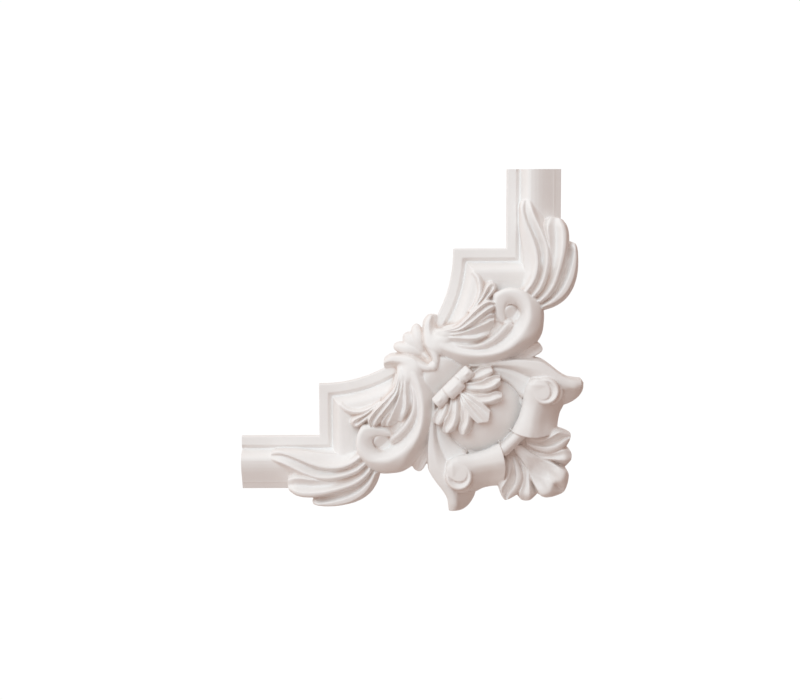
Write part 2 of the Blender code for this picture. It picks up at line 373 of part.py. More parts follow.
def acanthus(heap):
    # the ground under the leaf, and its root at the strap
    heap.lobe([(444, 333, 18), (462, 332, 19.5), (480, 323, 19), (497, 319, 18)], [7, 12, 15, 12], [8, 13, 18, 20], 3, FLAT, tip=0.9)
    heap.lobe([(484, 306, 19), (490, 298, 20), (496, 290, 17)], [6, 6, 4], [5, 6, 5], 4, DOME, tip=0.8)
    heap.plate((499, 326, 21), 8, 21, both=True)
    heap.lobe([(436, 334, 22), (444, 334, 25.5), (452, 333, 25.5), (460, 332, 23)], [6, 6, 7, 7], [6, 6, 7, 7], 5, DOME, tip=0.7)
    # two sprigs that lie on the rail
    heap.loft([
        [(468, 311, 22), (473.3, 304, 22), (475.3, 299, 21.5), (477, 293, 20.5), (477.3, 286, 18.8), (475.2, 279, 17.5), (470.8, 272, 16.8)],
        [(470, 311, 26), (475, 303.5, 27), (477.8, 298.5, 27), (479.7, 292, 26), (479.9, 285, 24.5), (478, 277.5, 22.5), (472.8, 270.6, 18.5)],
        [(472, 311, 25), (476.5, 303.3, 26), (479.6, 298, 25.5), (481.4, 291.5, 24.5), (481.7, 284.5, 23), (480, 277, 21), (474.8, 269.6, 18)],
        [(474, 311, 20), (478, 303.5, 20), (481.8, 298.5, 19), (483.8, 291.5, 17.5), (484.3, 284.5, 16.5), (482.7, 277, 16), (477.5, 269.8, 16)],
    ])
    heap.loft([
        [(471, 311, 20), (476.5, 303, 21), (480, 298, 20), (482.3, 292.5, 19), (483.8, 287, 18), (486, 282.4, 17), (490, 280.2, 16.5)],
        [(472, 311, 26), (477.8, 303, 28), (481.8, 297.8, 28.5), (484.8, 292, 29), (487.5, 286.6, 29), (490.2, 283.2, 27.5), (493.3, 281.4, 21.5)],
        [(473.3, 311, 24), (479.3, 303, 24.5), (483.6, 298, 23), (487.4, 292.5, 22.5), (490.8, 288.4, 23), (493, 286.2, 25), (495.6, 284.3, 22)],
        [(474.6, 311, 26), (480.8, 303.3, 28), (485.5, 298.6, 29), (489.6, 293.6, 29.5), (492.6, 289.8, 29), (494.2, 287.6, 27), (495.8, 286, 22)],
        [(476, 311, 24), (482.5, 304.5, 24), (488, 300, 23), (492, 295, 22), (494.4, 291.4, 20.5), (495.6, 289, 19), (496.2, 287, 17.5)],
    ])
    # the three gouged fingers of the leaf, from the top one down
    heap.loft([
        [(438, 329.5, 20), (447, 327.8, 22.5), (457, 324.3, 23), (466, 316, 24), (474, 308, 25), (481, 302, 25.5), (487, 298.8, 26), (493, 299.5, 25), (496.8, 302, 23)],
        [(438, 330.3, 23), (448, 328.7, 26.3), (458, 325.8, 28.5), (467, 318.3, 31), (475, 310.3, 33), (482, 304.2, 34), (488, 301, 34), (493, 301.6, 32), (496, 303, 28)],
        [(438, 331, 23), (449, 329.7, 25.8), (459.5, 327.2, 26.8), (469, 319.8, 27.8), (477.5, 312.2, 28.2), (484, 306.6, 28), (489, 303.6, 28), (493, 303.1, 27.5), (495.5, 303.8, 27)],
        [(438, 331.8, 23), (450, 330.4, 26.3), (461, 327.9, 29), (471, 321.2, 31.5), (479.5, 314.4, 33.5), (486, 309.4, 34), (490.5, 306.6, 33.5), (493.5, 305.6, 32), (495, 305.5, 28)],
        [(438, 332.3, 22), (450.5, 331.2, 24.5), (462, 329.2, 25), (472, 324, 26.5), (481, 318, 26.5), (487.8, 313.2, 26), (491.7, 311.3, 25), (494, 310.6, 19), (494.8, 309, 19)],
    ])
    heap.loft([
        [(438, 332.3, 22), (448, 331.6, 24), (458, 329.6, 24), (470, 325.3, 25.5), (478, 320.5, 25.5), (484, 316.3, 25.5), (488.5, 313, 26), (492, 311.6, 24), (494.2, 312, 23)],
        [(438, 332.8, 22), (449, 332, 24.6), (458, 330.5, 25), (470, 326.2, 23.5), (478.5, 321.5, 25.5), (484.5, 317.2, 28.5), (489, 314.2, 30.5), (492.3, 313.2, 30.5), (494.5, 313.4, 27)],
        [(438, 333.2, 22), (449.5, 332.5, 24.6), (458.5, 331.3, 25), (470.5, 327.3, 25), (479.5, 323.2, 24.6), (485.5, 319.6, 24.6), (489.5, 317.2, 25), (492.5, 316.4, 24), (494.7, 316, 24)],
        [(438, 333.7, 22), (450, 333.3, 26), (458.5, 332.2, 28.3), (468.5, 329, 30.5), (477.5, 325.4, 32.3), (485, 322, 33.3), (490.5, 319.7, 33), (494.5, 319, 29)],
        [(438, 334.4, 21), (450.5, 334.4, 23.8), (459, 334, 24), (469.5, 332.4, 25), (479, 330, 24.5), (486.7, 327.4, 24), (491.8, 324.6, 23), (495, 321, 20)],
    ])
    heap.loft([
        [(438, 335, 21), (449, 334.8, 24), (458, 334.8, 23), (468, 335.2, 25), (477, 334.6, 24.5), (484, 332, 23.5), (490, 330.6, 22)],
        [(438, 336.2, 22), (449, 336.3, 26.2), (457.5, 336.4, 28), (467.5, 337.4, 29), (476.5, 337, 29), (483.5, 334.8, 27.5), (490, 332.5, 23)],
        [(438, 337.4, 21.5), (449.5, 338.2, 25), (457.5, 338.8, 25.5), (467.3, 340.2, 24.5), (476.7, 339.7, 23.5), (484.5, 336.6, 22), (491, 333, 19)],
        [(438, 338.6, 19), (450, 340.4, 21.5), (457, 341.6, 20), (467, 343.4, 17), (477, 342.6, 16), (485.5, 338.8, 16), (492, 334, 16)],
    ])


def strap(heap):
    # the strap, rolled back at its head with a hollow in it, that runs into the tail of the volute
    heap.loft([
        [(427.5, 314.2, 5), (424, 319.5, 6), (423.2, 328, 8), (423.2, 338, 11), (424.4, 344.3, 13), (429, 351, 14), (436.5, 355.3, 14), (446, 359.8, 12)],
        [(429.5, 314.2, 13), (426.3, 320, 17), (425.2, 328, 19.5), (425.4, 338, 22.5), (427, 343.3, 24.5), (431.8, 348.7, 26), (438.5, 351.8, 25), (447, 355, 20)],
        [(432, 313.8, 14), (429.8, 319.3, 17.5), (429.5, 327.5, 20), (430, 336.5, 23.5), (431.5, 341.5, 25), (435.5, 346, 26.5), (441, 348.8, 26), (448, 351.5, 22)],
        [(434.2, 313.7, 12), (433.3, 318.5, 11.5), (433, 326.5, 14.5), (434, 334, 22), (436, 338.5, 25), (439.5, 342.5, 26.3), (444, 344.7, 26.3), (450, 347, 23)],
        [(436.6, 313.9, 10), (436.7, 318, 9), (436.6, 325.5, 10.5), (438.3, 331, 19), (441, 334.5, 24), (444.5, 337, 26), (448.5, 339, 26), (454, 341, 23)],
        [(438.4, 314.6, 6), (437.8, 319, 7), (437.8, 325, 7), (441, 327, 12), (446, 328, 16), (450, 328.5, 18), (454, 329, 18), (458, 330, 17)],
    ])
    # its inner rim, which meets its twin in a bulb on the diagonal
    heap.loft([
        [(423.6, 343.5, 12), (427.3, 350, 13), (430.7, 356, 14), (432.2, 360.5, 16)],
        [(425.6, 342, 22), (429.4, 348.5, 24.5), (433.2, 354.8, 26.3), (435, 361, 27), (434.5, 365, 26)],
        [(427.6, 341, 23), (432, 347.5, 25.6), (436.2, 354, 26.7), (438, 361, 26.5), (436.8, 366.3, 24.5)],
        [(430, 341, 21), (435, 347.5, 24), (439.4, 354, 24), (440.2, 361.5, 22), (438.2, 368.5, 19)],
    ])
    heap.ball((433.8, 364.8, 22), (5, 5, 6))
    # the small drop between the rims, and the low shell above it
    heap.lobe([(410, 338.5, 7), (417.5, 346, 10.5), (424, 352.5, 13), (430.8, 359.3, 16)], [3, 3.2, 3, 2.4], [3, 3.2, 3, 2.4], [2, 3, 4, 4], DOME, tip=1, both=False)
    heap.lobe([(435, 363, 13), (421, 348.5, 11.5), (408, 335.5, 7)], [13, 17, 15], [13, 17, 15], [4, 4, 3], DOME, tip=0.7, nose=2, both=False)
    heap.lobe([(428, 356.5, 10), (420, 348.5, 13.5), (412, 340.5, 14.5), (405.3, 333, 12)], [3, 5.5, 7.6, 7.8], [3, 5.5, 7.6, 7.8], [3, 4, 6, 7], DOME, tip=0.6, nose=2.5, blunt=2.2, both=False)
    heap.lobe([(427, 355, 10), (420.8, 346, 15), (417.6, 337, 16), (416.5, 329, 13), (417.5, 323, 8.5)], [2, 4.5, 4.8, 4.6, 4], [2, 5, 6.5, 6.5, 6], [3, 5, 7, 7, 5], DOME, tip=0.75, nose=2.5, blunt=2.4)


def ribbon(heap):
    # the plain tongue on the diagonal, that falls away from the bulb to the collar
    heap.lobe([(431.5, 363.5, 22.5), (436, 368, 23), (446, 378, 17.5), (460, 392, 10)], [11, 15, 20, 24], [11, 15, 20, 24], [1, 1, 1, 1], FLAT, tip=1, both=False)


def reel(heap, start, end, section, ease=(0, 0), both=False):
    """A turned bar between two points: section is (offset to the lower right, height), ease rounds its ends."""
    start, end = np.asarray(start, float), np.asarray(end, float)
    along = (end - start) / math.dist(start, end)
    across = np.array([-along[1], along[0]])
    stops = [(start, ease[0]), (start + along * 0.8, ease[0] * 0.45), (start + along * 2.2, 0)]
    stops += [(end - along * 2.2, 0), (end - along * 0.8, ease[1] * 0.45), (end, ease[1])]
    heap.loft([[(*(at + across * off * (1 - 0.05 * drop)), h - drop) for at, drop in stops] for off, h in section], both=both)


KNOB = [(-0.6, 34.6), (0.6, 34.6), (2, 33.7), (4, 29.8), (5.9, 24), (7, 17)]
BARREL = [(-0.6, 38), (0.6, 38), (2.4, 36.7), (4.8, 32), (7, 25), (8.2, 17)]
ROD = [(-6.3, 22), (-5.7, 28.4), (-3.4, 33), (0, 34.4), (3.4, 33), (5.7, 28.4), (6.3, 22)]


def collar(heap):
    # a bar across the diagonal with a knob at each end, and a barrel in front of its middle
    heap.bar((438.6, 399.4, 28), (466.8, 371.2, 28), 6)
    for at, to, section, height, radius, ease in (
        ((436, 403), (445, 394), KNOB, 28.4, 6.5, (4, 0.5)),
        ((461.6, 377.4), (470.6, 368.4), KNOB, 28.4, 6.5, (0.5, 4)),
        ((447.4, 393.4), (461, 379.8), BARREL, 30.3, 7.9, (0.6, 0.6)),
    ):
        heap.bar((*at, height), (*to, height), radius)
        reel(heap, at, to, section, ease)


def shell(heap):
    # gouged lobes that fan out below the collar over a low mound, from the scroll to the diagonal
    heap.ball((475, 403, 20.5), (23, 23, 11.5))
    heap.loft([
        [(464, 376, 14), (474, 369.6, 17), (480, 365.8, 18), (486, 364.4, 18), (491.3, 365.2, 18)],
        [(464.5, 377, 24), (475, 370.6, 29.5), (480.5, 367, 31.6), (486.5, 365.5, 32), (491.8, 366.2, 30.3)],
        [(465, 377.6, 23.5), (476, 373, 27), (482, 370, 28.5), (487.5, 368.3, 29.3), (492.6, 368, 29.3)],
        [(465.5, 378.8, 24), (476.8, 376.5, 31), (483, 374.2, 33), (489, 371.6, 33.3), (493.2, 370, 31.2)],
        [(466, 380, 22.5), (477, 379, 28.5), (484.3, 377.2, 30), (489.8, 374.6, 30), (493.4, 371.8, 28.5)],
        [(466, 381, 22), (477, 380.8, 25), (484.8, 379, 25), (490.6, 376.2, 22), (494.4, 372.6, 17)],
    ])
    heap.loft([
        [(462, 380.8, 22), (473, 380.8, 26), (482, 379, 26), (489, 375.3, 23), (495, 373.2, 17.5), (501.2, 374, 18)],
        [(462, 381.9, 24), (473.5, 382.1, 33), (482, 380.3, 35.4), (489.5, 376.8, 36.6), (495.5, 374.7, 36.8), (500.8, 375.4, 34.5)],
        [(462, 384.3, 23.5), (475, 384.6, 31), (484, 383.4, 31.8), (491, 380.6, 32.6), (496.2, 378.2, 33.4), (501, 377.8, 33.5)],
        [(462, 386.7, 24), (474.5, 387.5, 34.5), (483.5, 387.3, 37), (491, 385.4, 38.3), (496.8, 382, 38), (500.8, 379.6, 35)],
        [(462, 389, 23), (474.3, 390.3, 31.5), (483.5, 390.6, 33.5), (491.6, 389, 34.5), (498.2, 384.8, 34.5), (501, 381.2, 32)],
        [(462, 390.3, 22), (474, 392, 28), (483.5, 392.6, 29), (492.2, 391, 28), (499.4, 386.6, 22), (501.8, 382.4, 18)],
    ])
    heap.loft([
        [(458, 388, 22), (471, 391.6, 28), (480.5, 392.6, 29), (489, 391.8, 28), (496.8, 389.4, 23), (502.8, 391, 18)],
        [(458, 388.8, 24), (471.5, 392.8, 35.5), (480, 394, 38), (489, 393.2, 39), (496.8, 390.8, 38.8), (502.6, 392.5, 36)],
        [(458, 390, 24), (471.5, 395, 34.3), (480.5, 397, 35.3), (489, 396.3, 35.8), (496.8, 394.2, 36.2), (503, 394.6, 35.6)],
        [(458, 391.3, 25), (471.5, 397.3, 37.8), (480.5, 400, 40), (488.8, 400, 41), (496.3, 397.8, 40.5), (502.6, 396.4, 37)],
        [(458, 392.5, 24), (471.5, 399.8, 35), (481, 403, 37), (489.3, 403.3, 37.5), (497.2, 401, 37), (502.6, 397.8, 34.5)],
        [(458, 393.5, 16), (471, 401.5, 17), (480.7, 405, 17), (489.3, 405.8, 17), (498, 403.3, 17), (503.3, 398.8, 18)],
    ])
    heap.loft([
        [(457, 388, 16), (470, 393.6, 17), (479, 397.8, 17), (486.8, 402.6, 17), (492.4, 409.2, 17)],
        [(456.5, 389, 26), (469.3, 395.2, 38), (477.5, 399.7, 40.4), (485.2, 404.8, 41), (491.4, 410.8, 40.5)],
        [(456, 390.5, 26), (467.7, 397, 35.8), (474.9, 402.4, 37.2), (482.2, 408.2, 37.8), (490.2, 414.8, 38)],
        [(455, 391.5, 27), (465.5, 399, 39.3), (472.3, 406, 40.8), (479.8, 413.3, 41.2), (488.8, 420.8, 40.4)],
    ], fold=True)


def boss(heap):
    # the smooth dome, the ground round it, and the ledge above its shoulder
    heap.plate((485, 413, 5), 47, 5)
    heap.ball((522, 399, 6), (6, 8, 8.5), both=True)
    heap.ball((482.5, 410.5, -9), (46, 39.5, 39), turn=-45)
    heap.loft([
        [(462, 364, 14), (484, 364, 15), (500, 364, 16.5), (513.5, 366, 19), (524, 371, 19.6), (532, 376.5, 19.8), (538, 382, 19.8)],
        [(466, 371, 15), (484, 369.4, 17), (498, 369.6, 18.4), (509.8, 371.9, 19), (519.6, 376.5, 19.4), (527.8, 381.8, 19.6), (534, 388, 19.6)],
        [(468, 374.5, 14), (484, 372.8, 16), (496.5, 372.7, 17), (506.5, 375, 17.5), (514.6, 379.6, 17.7), (521.5, 385.6, 17.7), (528, 393.4, 17.7)],
        [(469, 377.8, 13), (484, 376.6, 14.6), (494.8, 376.2, 15.4), (503.3, 378.4, 15.8), (510, 382.4, 15.8), (516.3, 388.6, 15.7), (523, 397.2, 15.4)],
        [(469, 379.5, 5), (484, 378, 5), (494, 377.8, 5), (502, 380, 5), (508.3, 384, 5), (514.3, 390, 5), (521, 399, 5)],
    ])


def cartouche(heap):
    # the band that comes out from under the scroll and ends in a curled ear
    heap.loft([
        [(470, 362, 15), (486, 360.5, 15), (500, 359, 16), (514, 357.6, 16), (528, 357.6, 16), (540, 358.2, 14), (552, 365.6, 13), (560, 372, 13), (567, 376.2, 13), (574, 377.6, 12), (581.8, 378.3, 11)],
        [(470, 363.3, 20), (486, 362, 22), (500, 360.6, 24.3), (514, 359.3, 26.6), (528, 359.7, 28.3), (540.5, 361, 28.3), (552, 367.6, 27.5), (560.5, 373.8, 26.3), (568, 377.8, 25), (575, 379.2, 23.5), (582, 379.6, 20)],
        [(470, 364.6, 19.8), (486, 364, 21.8), (500, 363.4, 24.1), (514, 363.9, 26.4), (528, 366, 28.4), (540, 369, 28.9), (551, 372.8, 28.3), (560, 378.6, 27.6), (568, 382.6, 27), (575.8, 384, 26), (582, 383.6, 23)],
        [(470, 366, 18), (486, 365.6, 18.8), (500, 366, 20), (513, 368, 21.8), (525.5, 372, 23.6), (537, 376.4, 24.6), (547.5, 380.5, 24.8), (558, 384.6, 25.4), (568, 387.2, 25.5), (576, 387.8, 24.5), (581.3, 386.4, 22)],
        [(470, 367.6, 11), (486, 366.8, 11.5), (500, 367.3, 12), (512, 370.4, 13), (522.5, 375.2, 14.5), (532, 380, 15), (542, 386, 15), (555, 388.8, 17), (567, 390, 18), (575.5, 390.2, 17.5), (580.8, 388.6, 16)],
    ])
    # the under side of the ear, falling away steeply to the outline
    heap.loft([
        [(548, 385, 22), (561, 387.4, 24.4), (569.5, 388.3, 24.2), (576.8, 387.8, 22.8), (581.2, 385, 20.5), (582.3, 380, 17)],
        [(550, 389, 18), (562, 391, 18), (570.5, 391.6, 17), (578, 389.8, 15.5), (582, 386, 14), (583, 381, 12)],
        [(552, 395, 12), (563, 397, 11), (571.5, 396.3, 9.5), (579.3, 392, 8.5), (582.8, 387, 8), (583.4, 381.5, 8)],
        [(556, 405, 2), (565, 404.2, 2), (572.5, 401, 1.5), (579.8, 395, 1.5), (583, 389.5, 1.5), (583.8, 382, 2)],
    ])


def roll(heap):
    # the ribbon rolled up beside the boss, narrow under its lip and flared at its mouth
    heap.loft([
        [(532, 378.6, 16), (529.3, 382.4, 15), (527, 387.4, 14), (525.2, 394, 13), (524.5, 402, 12), (522.5, 410, 12), (520, 418, 12), (516.6, 425, 13), (513.4, 432, 14)],
        [(530.8, 378.2, 22), (528, 382, 26.5), (525.6, 387, 27), (523.8, 393.6, 26), (523.1, 401.5, 25.4), (521.1, 409.6, 25.6), (518.6, 417.6, 26.6), (515.2, 424.6, 28), (512, 431.2, 29.5)],
        [(535, 376.6, 24), (532.9, 381.6, 33.3), (531, 387.5, 34.3), (529.3, 394.5, 33), (528.3, 402.5, 32), (526.6, 410.5, 32.6), (524.5, 418.5, 34.3), (522, 426.3, 36.3), (519.3, 434.8, 38)],
        [(539.5, 375.6, 24), (538.2, 381, 33.8), (537, 388.5, 35), (535.3, 396.5, 34), (534.3, 404.5, 33), (532.6, 412.5, 33.8), (531, 420.5, 35.5), (529.3, 428.5, 37.6), (527.6, 437.2, 39)],
        [(545.5, 376, 22), (545.6, 381.5, 32.6), (545, 390, 33.8), (543.4, 399.5, 31.4), (541.3, 407.6, 30), (539.5, 415.5, 30.8), (538, 423, 32.5), (537, 430.6, 34.6), (536.2, 438, 35.3)],
        [(552.5, 378.6, 16), (553, 384, 25), (552.5, 392.5, 26.5), (550.8, 401, 24), (548, 409.6, 22.8), (546, 417, 23.4), (544.8, 424, 25), (544.3, 430.3, 27.4), (544, 436.9, 29.4)],
        [(558.3, 382.6, 10), (559.7, 388.5, 16), (559.6, 396, 16), (558.4, 404.2, 13.5), (555.4, 411.3, 12.6), (553.4, 418, 13.2), (552.4, 424.3, 15.2), (552, 429.6, 17.7), (552.3, 434.4, 19.7)],
        [(561, 387, 8), (563.6, 392, 6), (564.6, 397.5, 5), (563.8, 404.8, 3), (560.6, 411.5, 2), (558.9, 418.5, 2), (558.1, 425, 3), (558, 429, 5), (558.4, 431, 7)],
    ])
    # its spiral end: a flat eye with a furrow round its far side, a rounded lip and one more turn behind
    heap.disc((546, 391, 34.8), (13.9, 13.5), [(0, -2.6), (0.5, -2.6), (0.66, -1.3), (0.79, 0), (0.89, -0.6), (0.95, -2), (1, -5)], tilt=(0.02, 0.03))
    heap.disc((541.3, 389.4, 34.9), (11.7, 9.4), [(0, 0), (0.75, 0), (0.9, -0.5), (1, -3.6)], turn=55, tilt=(0.02, 0.02))
    heap.disc((549.3, 391.3, 26), (15.6, 12.8), [(0, 0), (0.8, 0), (0.92, -1), (1, -4)], turn=30, tilt=(-0.1, -0.05))


def rod(heap):
    # the bar that both rolls hang on
    reel(heap, (502, 452.5), (523, 431.5), ROD)


def palm(heap):
    # the ground of the palm leaf at the outer corner
    heap.lobe([(505, 443, 12), (524, 454, 13), (545, 474, 8)], [16, 26, 19], [16, 26, 19], 3, DOME, tip=0.8, nose=2, both=False)
    heap.plate((542, 470, 5), 23.5, 5)
    # the outer lobe, gouged under its rim
    heap.loft([
        [(524, 434, 12), (538, 435, 16), (548, 432.5, 16), (557, 428.3, 13), (562.5, 429.3, 10), (568.4, 431.6, 9), (572.2, 434.3, 9)],
        [(525, 437, 14), (538, 440.8, 19.6), (547.4, 439, 21.8), (554.4, 435.2, 23), (560.3, 432.2, 22.4), (566.2, 433.8, 20), (571.5, 435.6, 17)],
        [(526, 440, 14), (538.8, 442.6, 17), (548, 441.6, 16.5), (555.6, 438.4, 17), (561, 435.6, 17.5), (566.6, 435.8, 17.3), (571.5, 436.5, 16)],
        [(526.5, 442, 14), (539, 444.6, 16), (547.5, 445, 15), (555.2, 442.8, 14), (561.7, 439.4, 13.5), (567, 437.4, 14), (571.4, 437.1, 15)],
        [(527, 443.5, 15), (539, 446.6, 20), (547.5, 447.6, 22), (555.2, 446.3, 22.5), (561.3, 443.2, 22), (566.5, 439.7, 19.5), (571.2, 437.8, 16)],
        [(527.5, 445, 14), (539.3, 449.9, 18.6), (548, 452, 20.6), (556, 450.8, 20.4), (562.4, 448, 19.4), (567.5, 443.2, 17.7), (571, 438.9, 15)],
        [(528, 447, 10), (539.5, 452.3, 8), (548, 454.6, 5), (556.3, 453.8, 5), (562.6, 451, 5), (567, 446.5, 5), (570.6, 440.5, 6)],
    ])
    # the next lobe
    heap.loft([
        [(526, 446, 10), (540, 451.6, 8), (550, 452, 7), (558, 450.2, 7), (564, 447.8, 7), (567.5, 447, 7)],
        [(526, 447.5, 13), (541, 453.6, 15), (550, 454.5, 16), (558, 452.6, 18.5), (564.5, 450, 19), (570.8, 450.8, 14)],
        [(526, 449, 13), (542, 456, 14), (551, 456.9, 15), (559, 456.2, 16.5), (566, 455, 17.5), (572.6, 455, 13)],
        [(526, 450.5, 13), (543, 458.6, 14.5), (552, 459.2, 17), (560, 460, 19.5), (567, 460.2, 18.5), (572.3, 459.6, 13)],
        [(526, 451.5, 12), (544, 461, 12), (552.5, 462, 7.5), (559, 465, 6), (564.5, 467.4, 6), (567.8, 465.6, 6)],
    ])
    # the middle, which ends in two bulbs with a notch on the diagonal between them
    heap.loft([
        [(524, 444, 4), (537, 454, 10), (546, 459.6, 12.5), (553, 462.6, 14), (560, 466.4, 13.5), (566, 467.6, 8)],
        [(522, 445, 16), (535.5, 455.5, 16.6), (545, 461.2, 14.5), (553.5, 465.3, 17.5), (561.5, 469.2, 20.5), (567, 471.8, 18), (569.6, 474, 8)],
        [(520, 445.5, 19), (533.5, 457, 17.6), (543, 463, 12.6), (551.5, 468.7, 15.4), (560, 474.8, 22), (566, 477.8, 21), (569.7, 480, 8)],
        [(518, 445.5, 20), (531, 457.3, 18.2), (541, 465.8, 12), (551, 474.8, 11.6), (560.4, 481.8, 20.6), (564.4, 485.3, 14.5), (567.5, 488.5, 3)],
        [(517, 445, 20), (528, 456, 18.4), (539, 467, 11.6), (547.5, 475.5, 10.4), (555.8, 483.8, 13.6), (558.4, 486.4, 9), (565, 493, 2.5)],
    ], fold=True)


def small_leaf(heap):
    heap.lobe([(515, 358, 14), (526, 354, 14), (535, 350, 12.5), (542, 345.5, 8.5)], [4, 5.5, 7, 6], [4, 5, 5.5, 5], [4, 5, 6, 6], SPOON, cut=[1, 2, 2, 1.5], tip=0.84, nose=1, blunt=2.6)


def ornament(fine):
    heap = Heap(fine)
    moulding(heap)
    for build in (fan_leaf, scroll, acanthus, strap, ribbon, collar, shell, boss, cartouche, roll, rod, palm, small_leaf):
        build(heap)
    verts = np.concatenate(heap.verts)
    out = np.empty_like(verts)
    out[:, 0] = (verts[:, 0] - BOSS[0]) * UNIT
    out[:, 1] = -verts[:, 2] * UNIT
    out[:, 2] = (BOSS[1] - verts[:, 1]) * UNIT
    return out, heap.faces


def mesh_object(name, verts, faces, home=None):
    mesh = bpy.data.meshes.new(name)
    mesh.from_pydata([tuple(v) for v in verts], [], faces)
    mesh.update()
    obj = bpy.data.objects.new(name, mesh)
    (home or bpy.context.scene.collection).objects.link(obj)
    return obj


# ---- the solid ----
NAME = "corner_moulding"
GRAIN = 0.0017  # size of the grid on which the raw pieces are cast into one body
TRIANGLES = 9000
STUB_END = 242.5  # sheet place of the cut ends: the legs reach this far from the diagonal


def triangle_count(obj):
    evaluated = obj.evaluated_get(bpy.context.evaluated_depsgraph_get())
    mesh = evaluated.to_mesh()
    count = sum(len(p.vertices) - 2 for p in mesh.polygons)
    evaluated.to_mesh_clear()
    return count


def main():
    home = bpy.data.collections.new(NAME)
    cutters = bpy.data.collections.new("cutters")
    for group in (home, cutters):
        bpy.context.scene.collection.children.link(group)

    verts, faces = ornament(2.0)
    body = mesh_object(NAME, verts, faces, home)
    paint = bpy.data.materials.new("primed_polyurethane")
    paint.use_nodes = True
    shader = paint.node_tree.nodes["Principled BSDF"]
    shader.inputs["Base Color"].default_value = (0.84, 0.81, 0.79, 1)
    shader.inputs["Roughness"].default_value = 0.6
    shader.inputs["Metallic"].default_value = 0
    body.data.materials.append(paint)

    cast = body.modifiers.new("cast in one", "REMESH")
    cast.mode = "VOXEL"
    cast.voxel_size = GRAIN
    soften = body.modifiers.new("soften", "SMOOTH")
    soften.factor = 0.5
    soften.iterations = 1
    thin_out = body.modifiers.new("thin out", "DECIMATE")
    thin_out.ratio = TRIANGLES / triangle_count(body)

    # The wall plane and the two square ends are cut by one block in front of the wall.
    reach = (BOSS[0] - STUB_END) * UNIT
    size = 0.6
    bpy.ops.mesh.primitive_cube_add(size=size, location=(-reach + size / 2, -size / 2, reach - size / 2))
    block = bpy.context.object
    block.name = "trim_block"
    for group in list(block.users_collection):
        group.objects.unlink(block)
    cutters.objects.link(block)
    block.hide_render = True
    block.display_type = "WIRE"
    trim = body.modifiers.new("trim", "BOOLEAN")
    trim.operation = "INTERSECT"
    trim.object = block


main()
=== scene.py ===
"""Looks of the corner moulding: the finely carved casting, its primer, the light and the camera."""
import math

import bmesh
import bpy
import numpy as np
from mathutils import Matrix, Quaternion, Vector


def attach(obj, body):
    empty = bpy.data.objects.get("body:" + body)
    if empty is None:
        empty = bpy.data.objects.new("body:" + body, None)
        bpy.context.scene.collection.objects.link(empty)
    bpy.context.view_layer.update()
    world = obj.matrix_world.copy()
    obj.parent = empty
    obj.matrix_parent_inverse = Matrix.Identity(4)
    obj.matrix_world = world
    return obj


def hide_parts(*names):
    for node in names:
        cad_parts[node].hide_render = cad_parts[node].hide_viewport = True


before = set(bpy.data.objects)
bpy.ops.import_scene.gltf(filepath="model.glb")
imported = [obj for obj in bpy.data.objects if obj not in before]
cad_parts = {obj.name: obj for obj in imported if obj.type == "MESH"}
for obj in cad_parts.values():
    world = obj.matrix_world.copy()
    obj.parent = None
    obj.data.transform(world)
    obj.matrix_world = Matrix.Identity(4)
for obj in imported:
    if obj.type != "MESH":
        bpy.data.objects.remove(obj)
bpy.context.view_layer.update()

WIDTH_MM = 50.0  # width of the straight moulding that the two ends carry on
UNIT = WIDTH_MM / 53 / 1000  # metres
BOSS = (485.0, 413.0)  # sheet position of the origin, the middle of the boss
SIGHT = (400.0, 178.0)  # foot of the sighting point
SIGHT_FAR = 1455.0  # its distance
DIAG = 72.0  # the diagonal is y = x - DIAG
BACK = 4.0  # how far the raw pieces run behind the wall plane before they are trimmed


def sighted(x, y, h):
    k = 1 / (1 + h / SIGHT_FAR)
    return SIGHT[0] + (x - SIGHT[0]) * k, SIGHT[1] + (y - SIGHT[1]) * k


def points(rows):
    """Control points sighted at (x, y) and h off the wall, in true sheet places."""
    return np.array([(*sighted(x, y, h), h) for x, y, h in rows], float)


def hermite(knots, values, at, held=None):
    """Cubic through values at knots; held slopes never overshoot, and single rows are always held."""
    values = np.asarray(values, float)
    flat = values.ndim == 1
    held = flat if held is None else held
    if flat:
        values = values[:, None]
    if len(values) == 1:
        out = np.repeat(values, len(at), axis=0)
        return out[:, 0] if flat else out
    d = np.diff(knots)[:, None]
    s = np.diff(values, axis=0) / d
    m = np.empty_like(values)
    m[0], m[-1] = s[0], s[-1]
    if len(values) > 2:
        mid = (s[:-1] * d[1:] + s[1:] * d[:-1]) / (d[1:] + d[:-1])
        if held:
            lim = 2.5 * np.minimum(abs(s[:-1]), abs(s[1:]))
            mid = np.where(s[:-1] * s[1:] <= 0, 0, np.clip(mid, -lim, lim))
        m[1:-1] = mid
    i = np.clip(np.searchsorted(knots, at, side="right") - 1, 0, len(knots) - 2)
    u = ((at - np.asarray(knots)[i]) / d[i, 0])[:, None]
    a, b = values[i], values[i + 1]
    ma, mb = m[i] * d[i], m[i + 1] * d[i]
    out = (
        (2 * u**3 - 3 * u**2 + 1) * a
        + (u**3 - 2 * u**2 + u) * ma
        + (3 * u**2 - 2 * u**3) * b
        + (u**3 - u**2) * mb
    )
    return out[:, 0] if flat else out


def run(rows, at):
    """The curve through control points, read at 0..1 of its length in plan."""
    rows = np.asarray(rows, float)
    step = np.hypot(*np.diff(rows[:, :2], axis=0).T)
    knots = np.concatenate([[0], np.cumsum(step)])
    return hermite(knots / knots[-1], rows, at), knots / knots[-1]


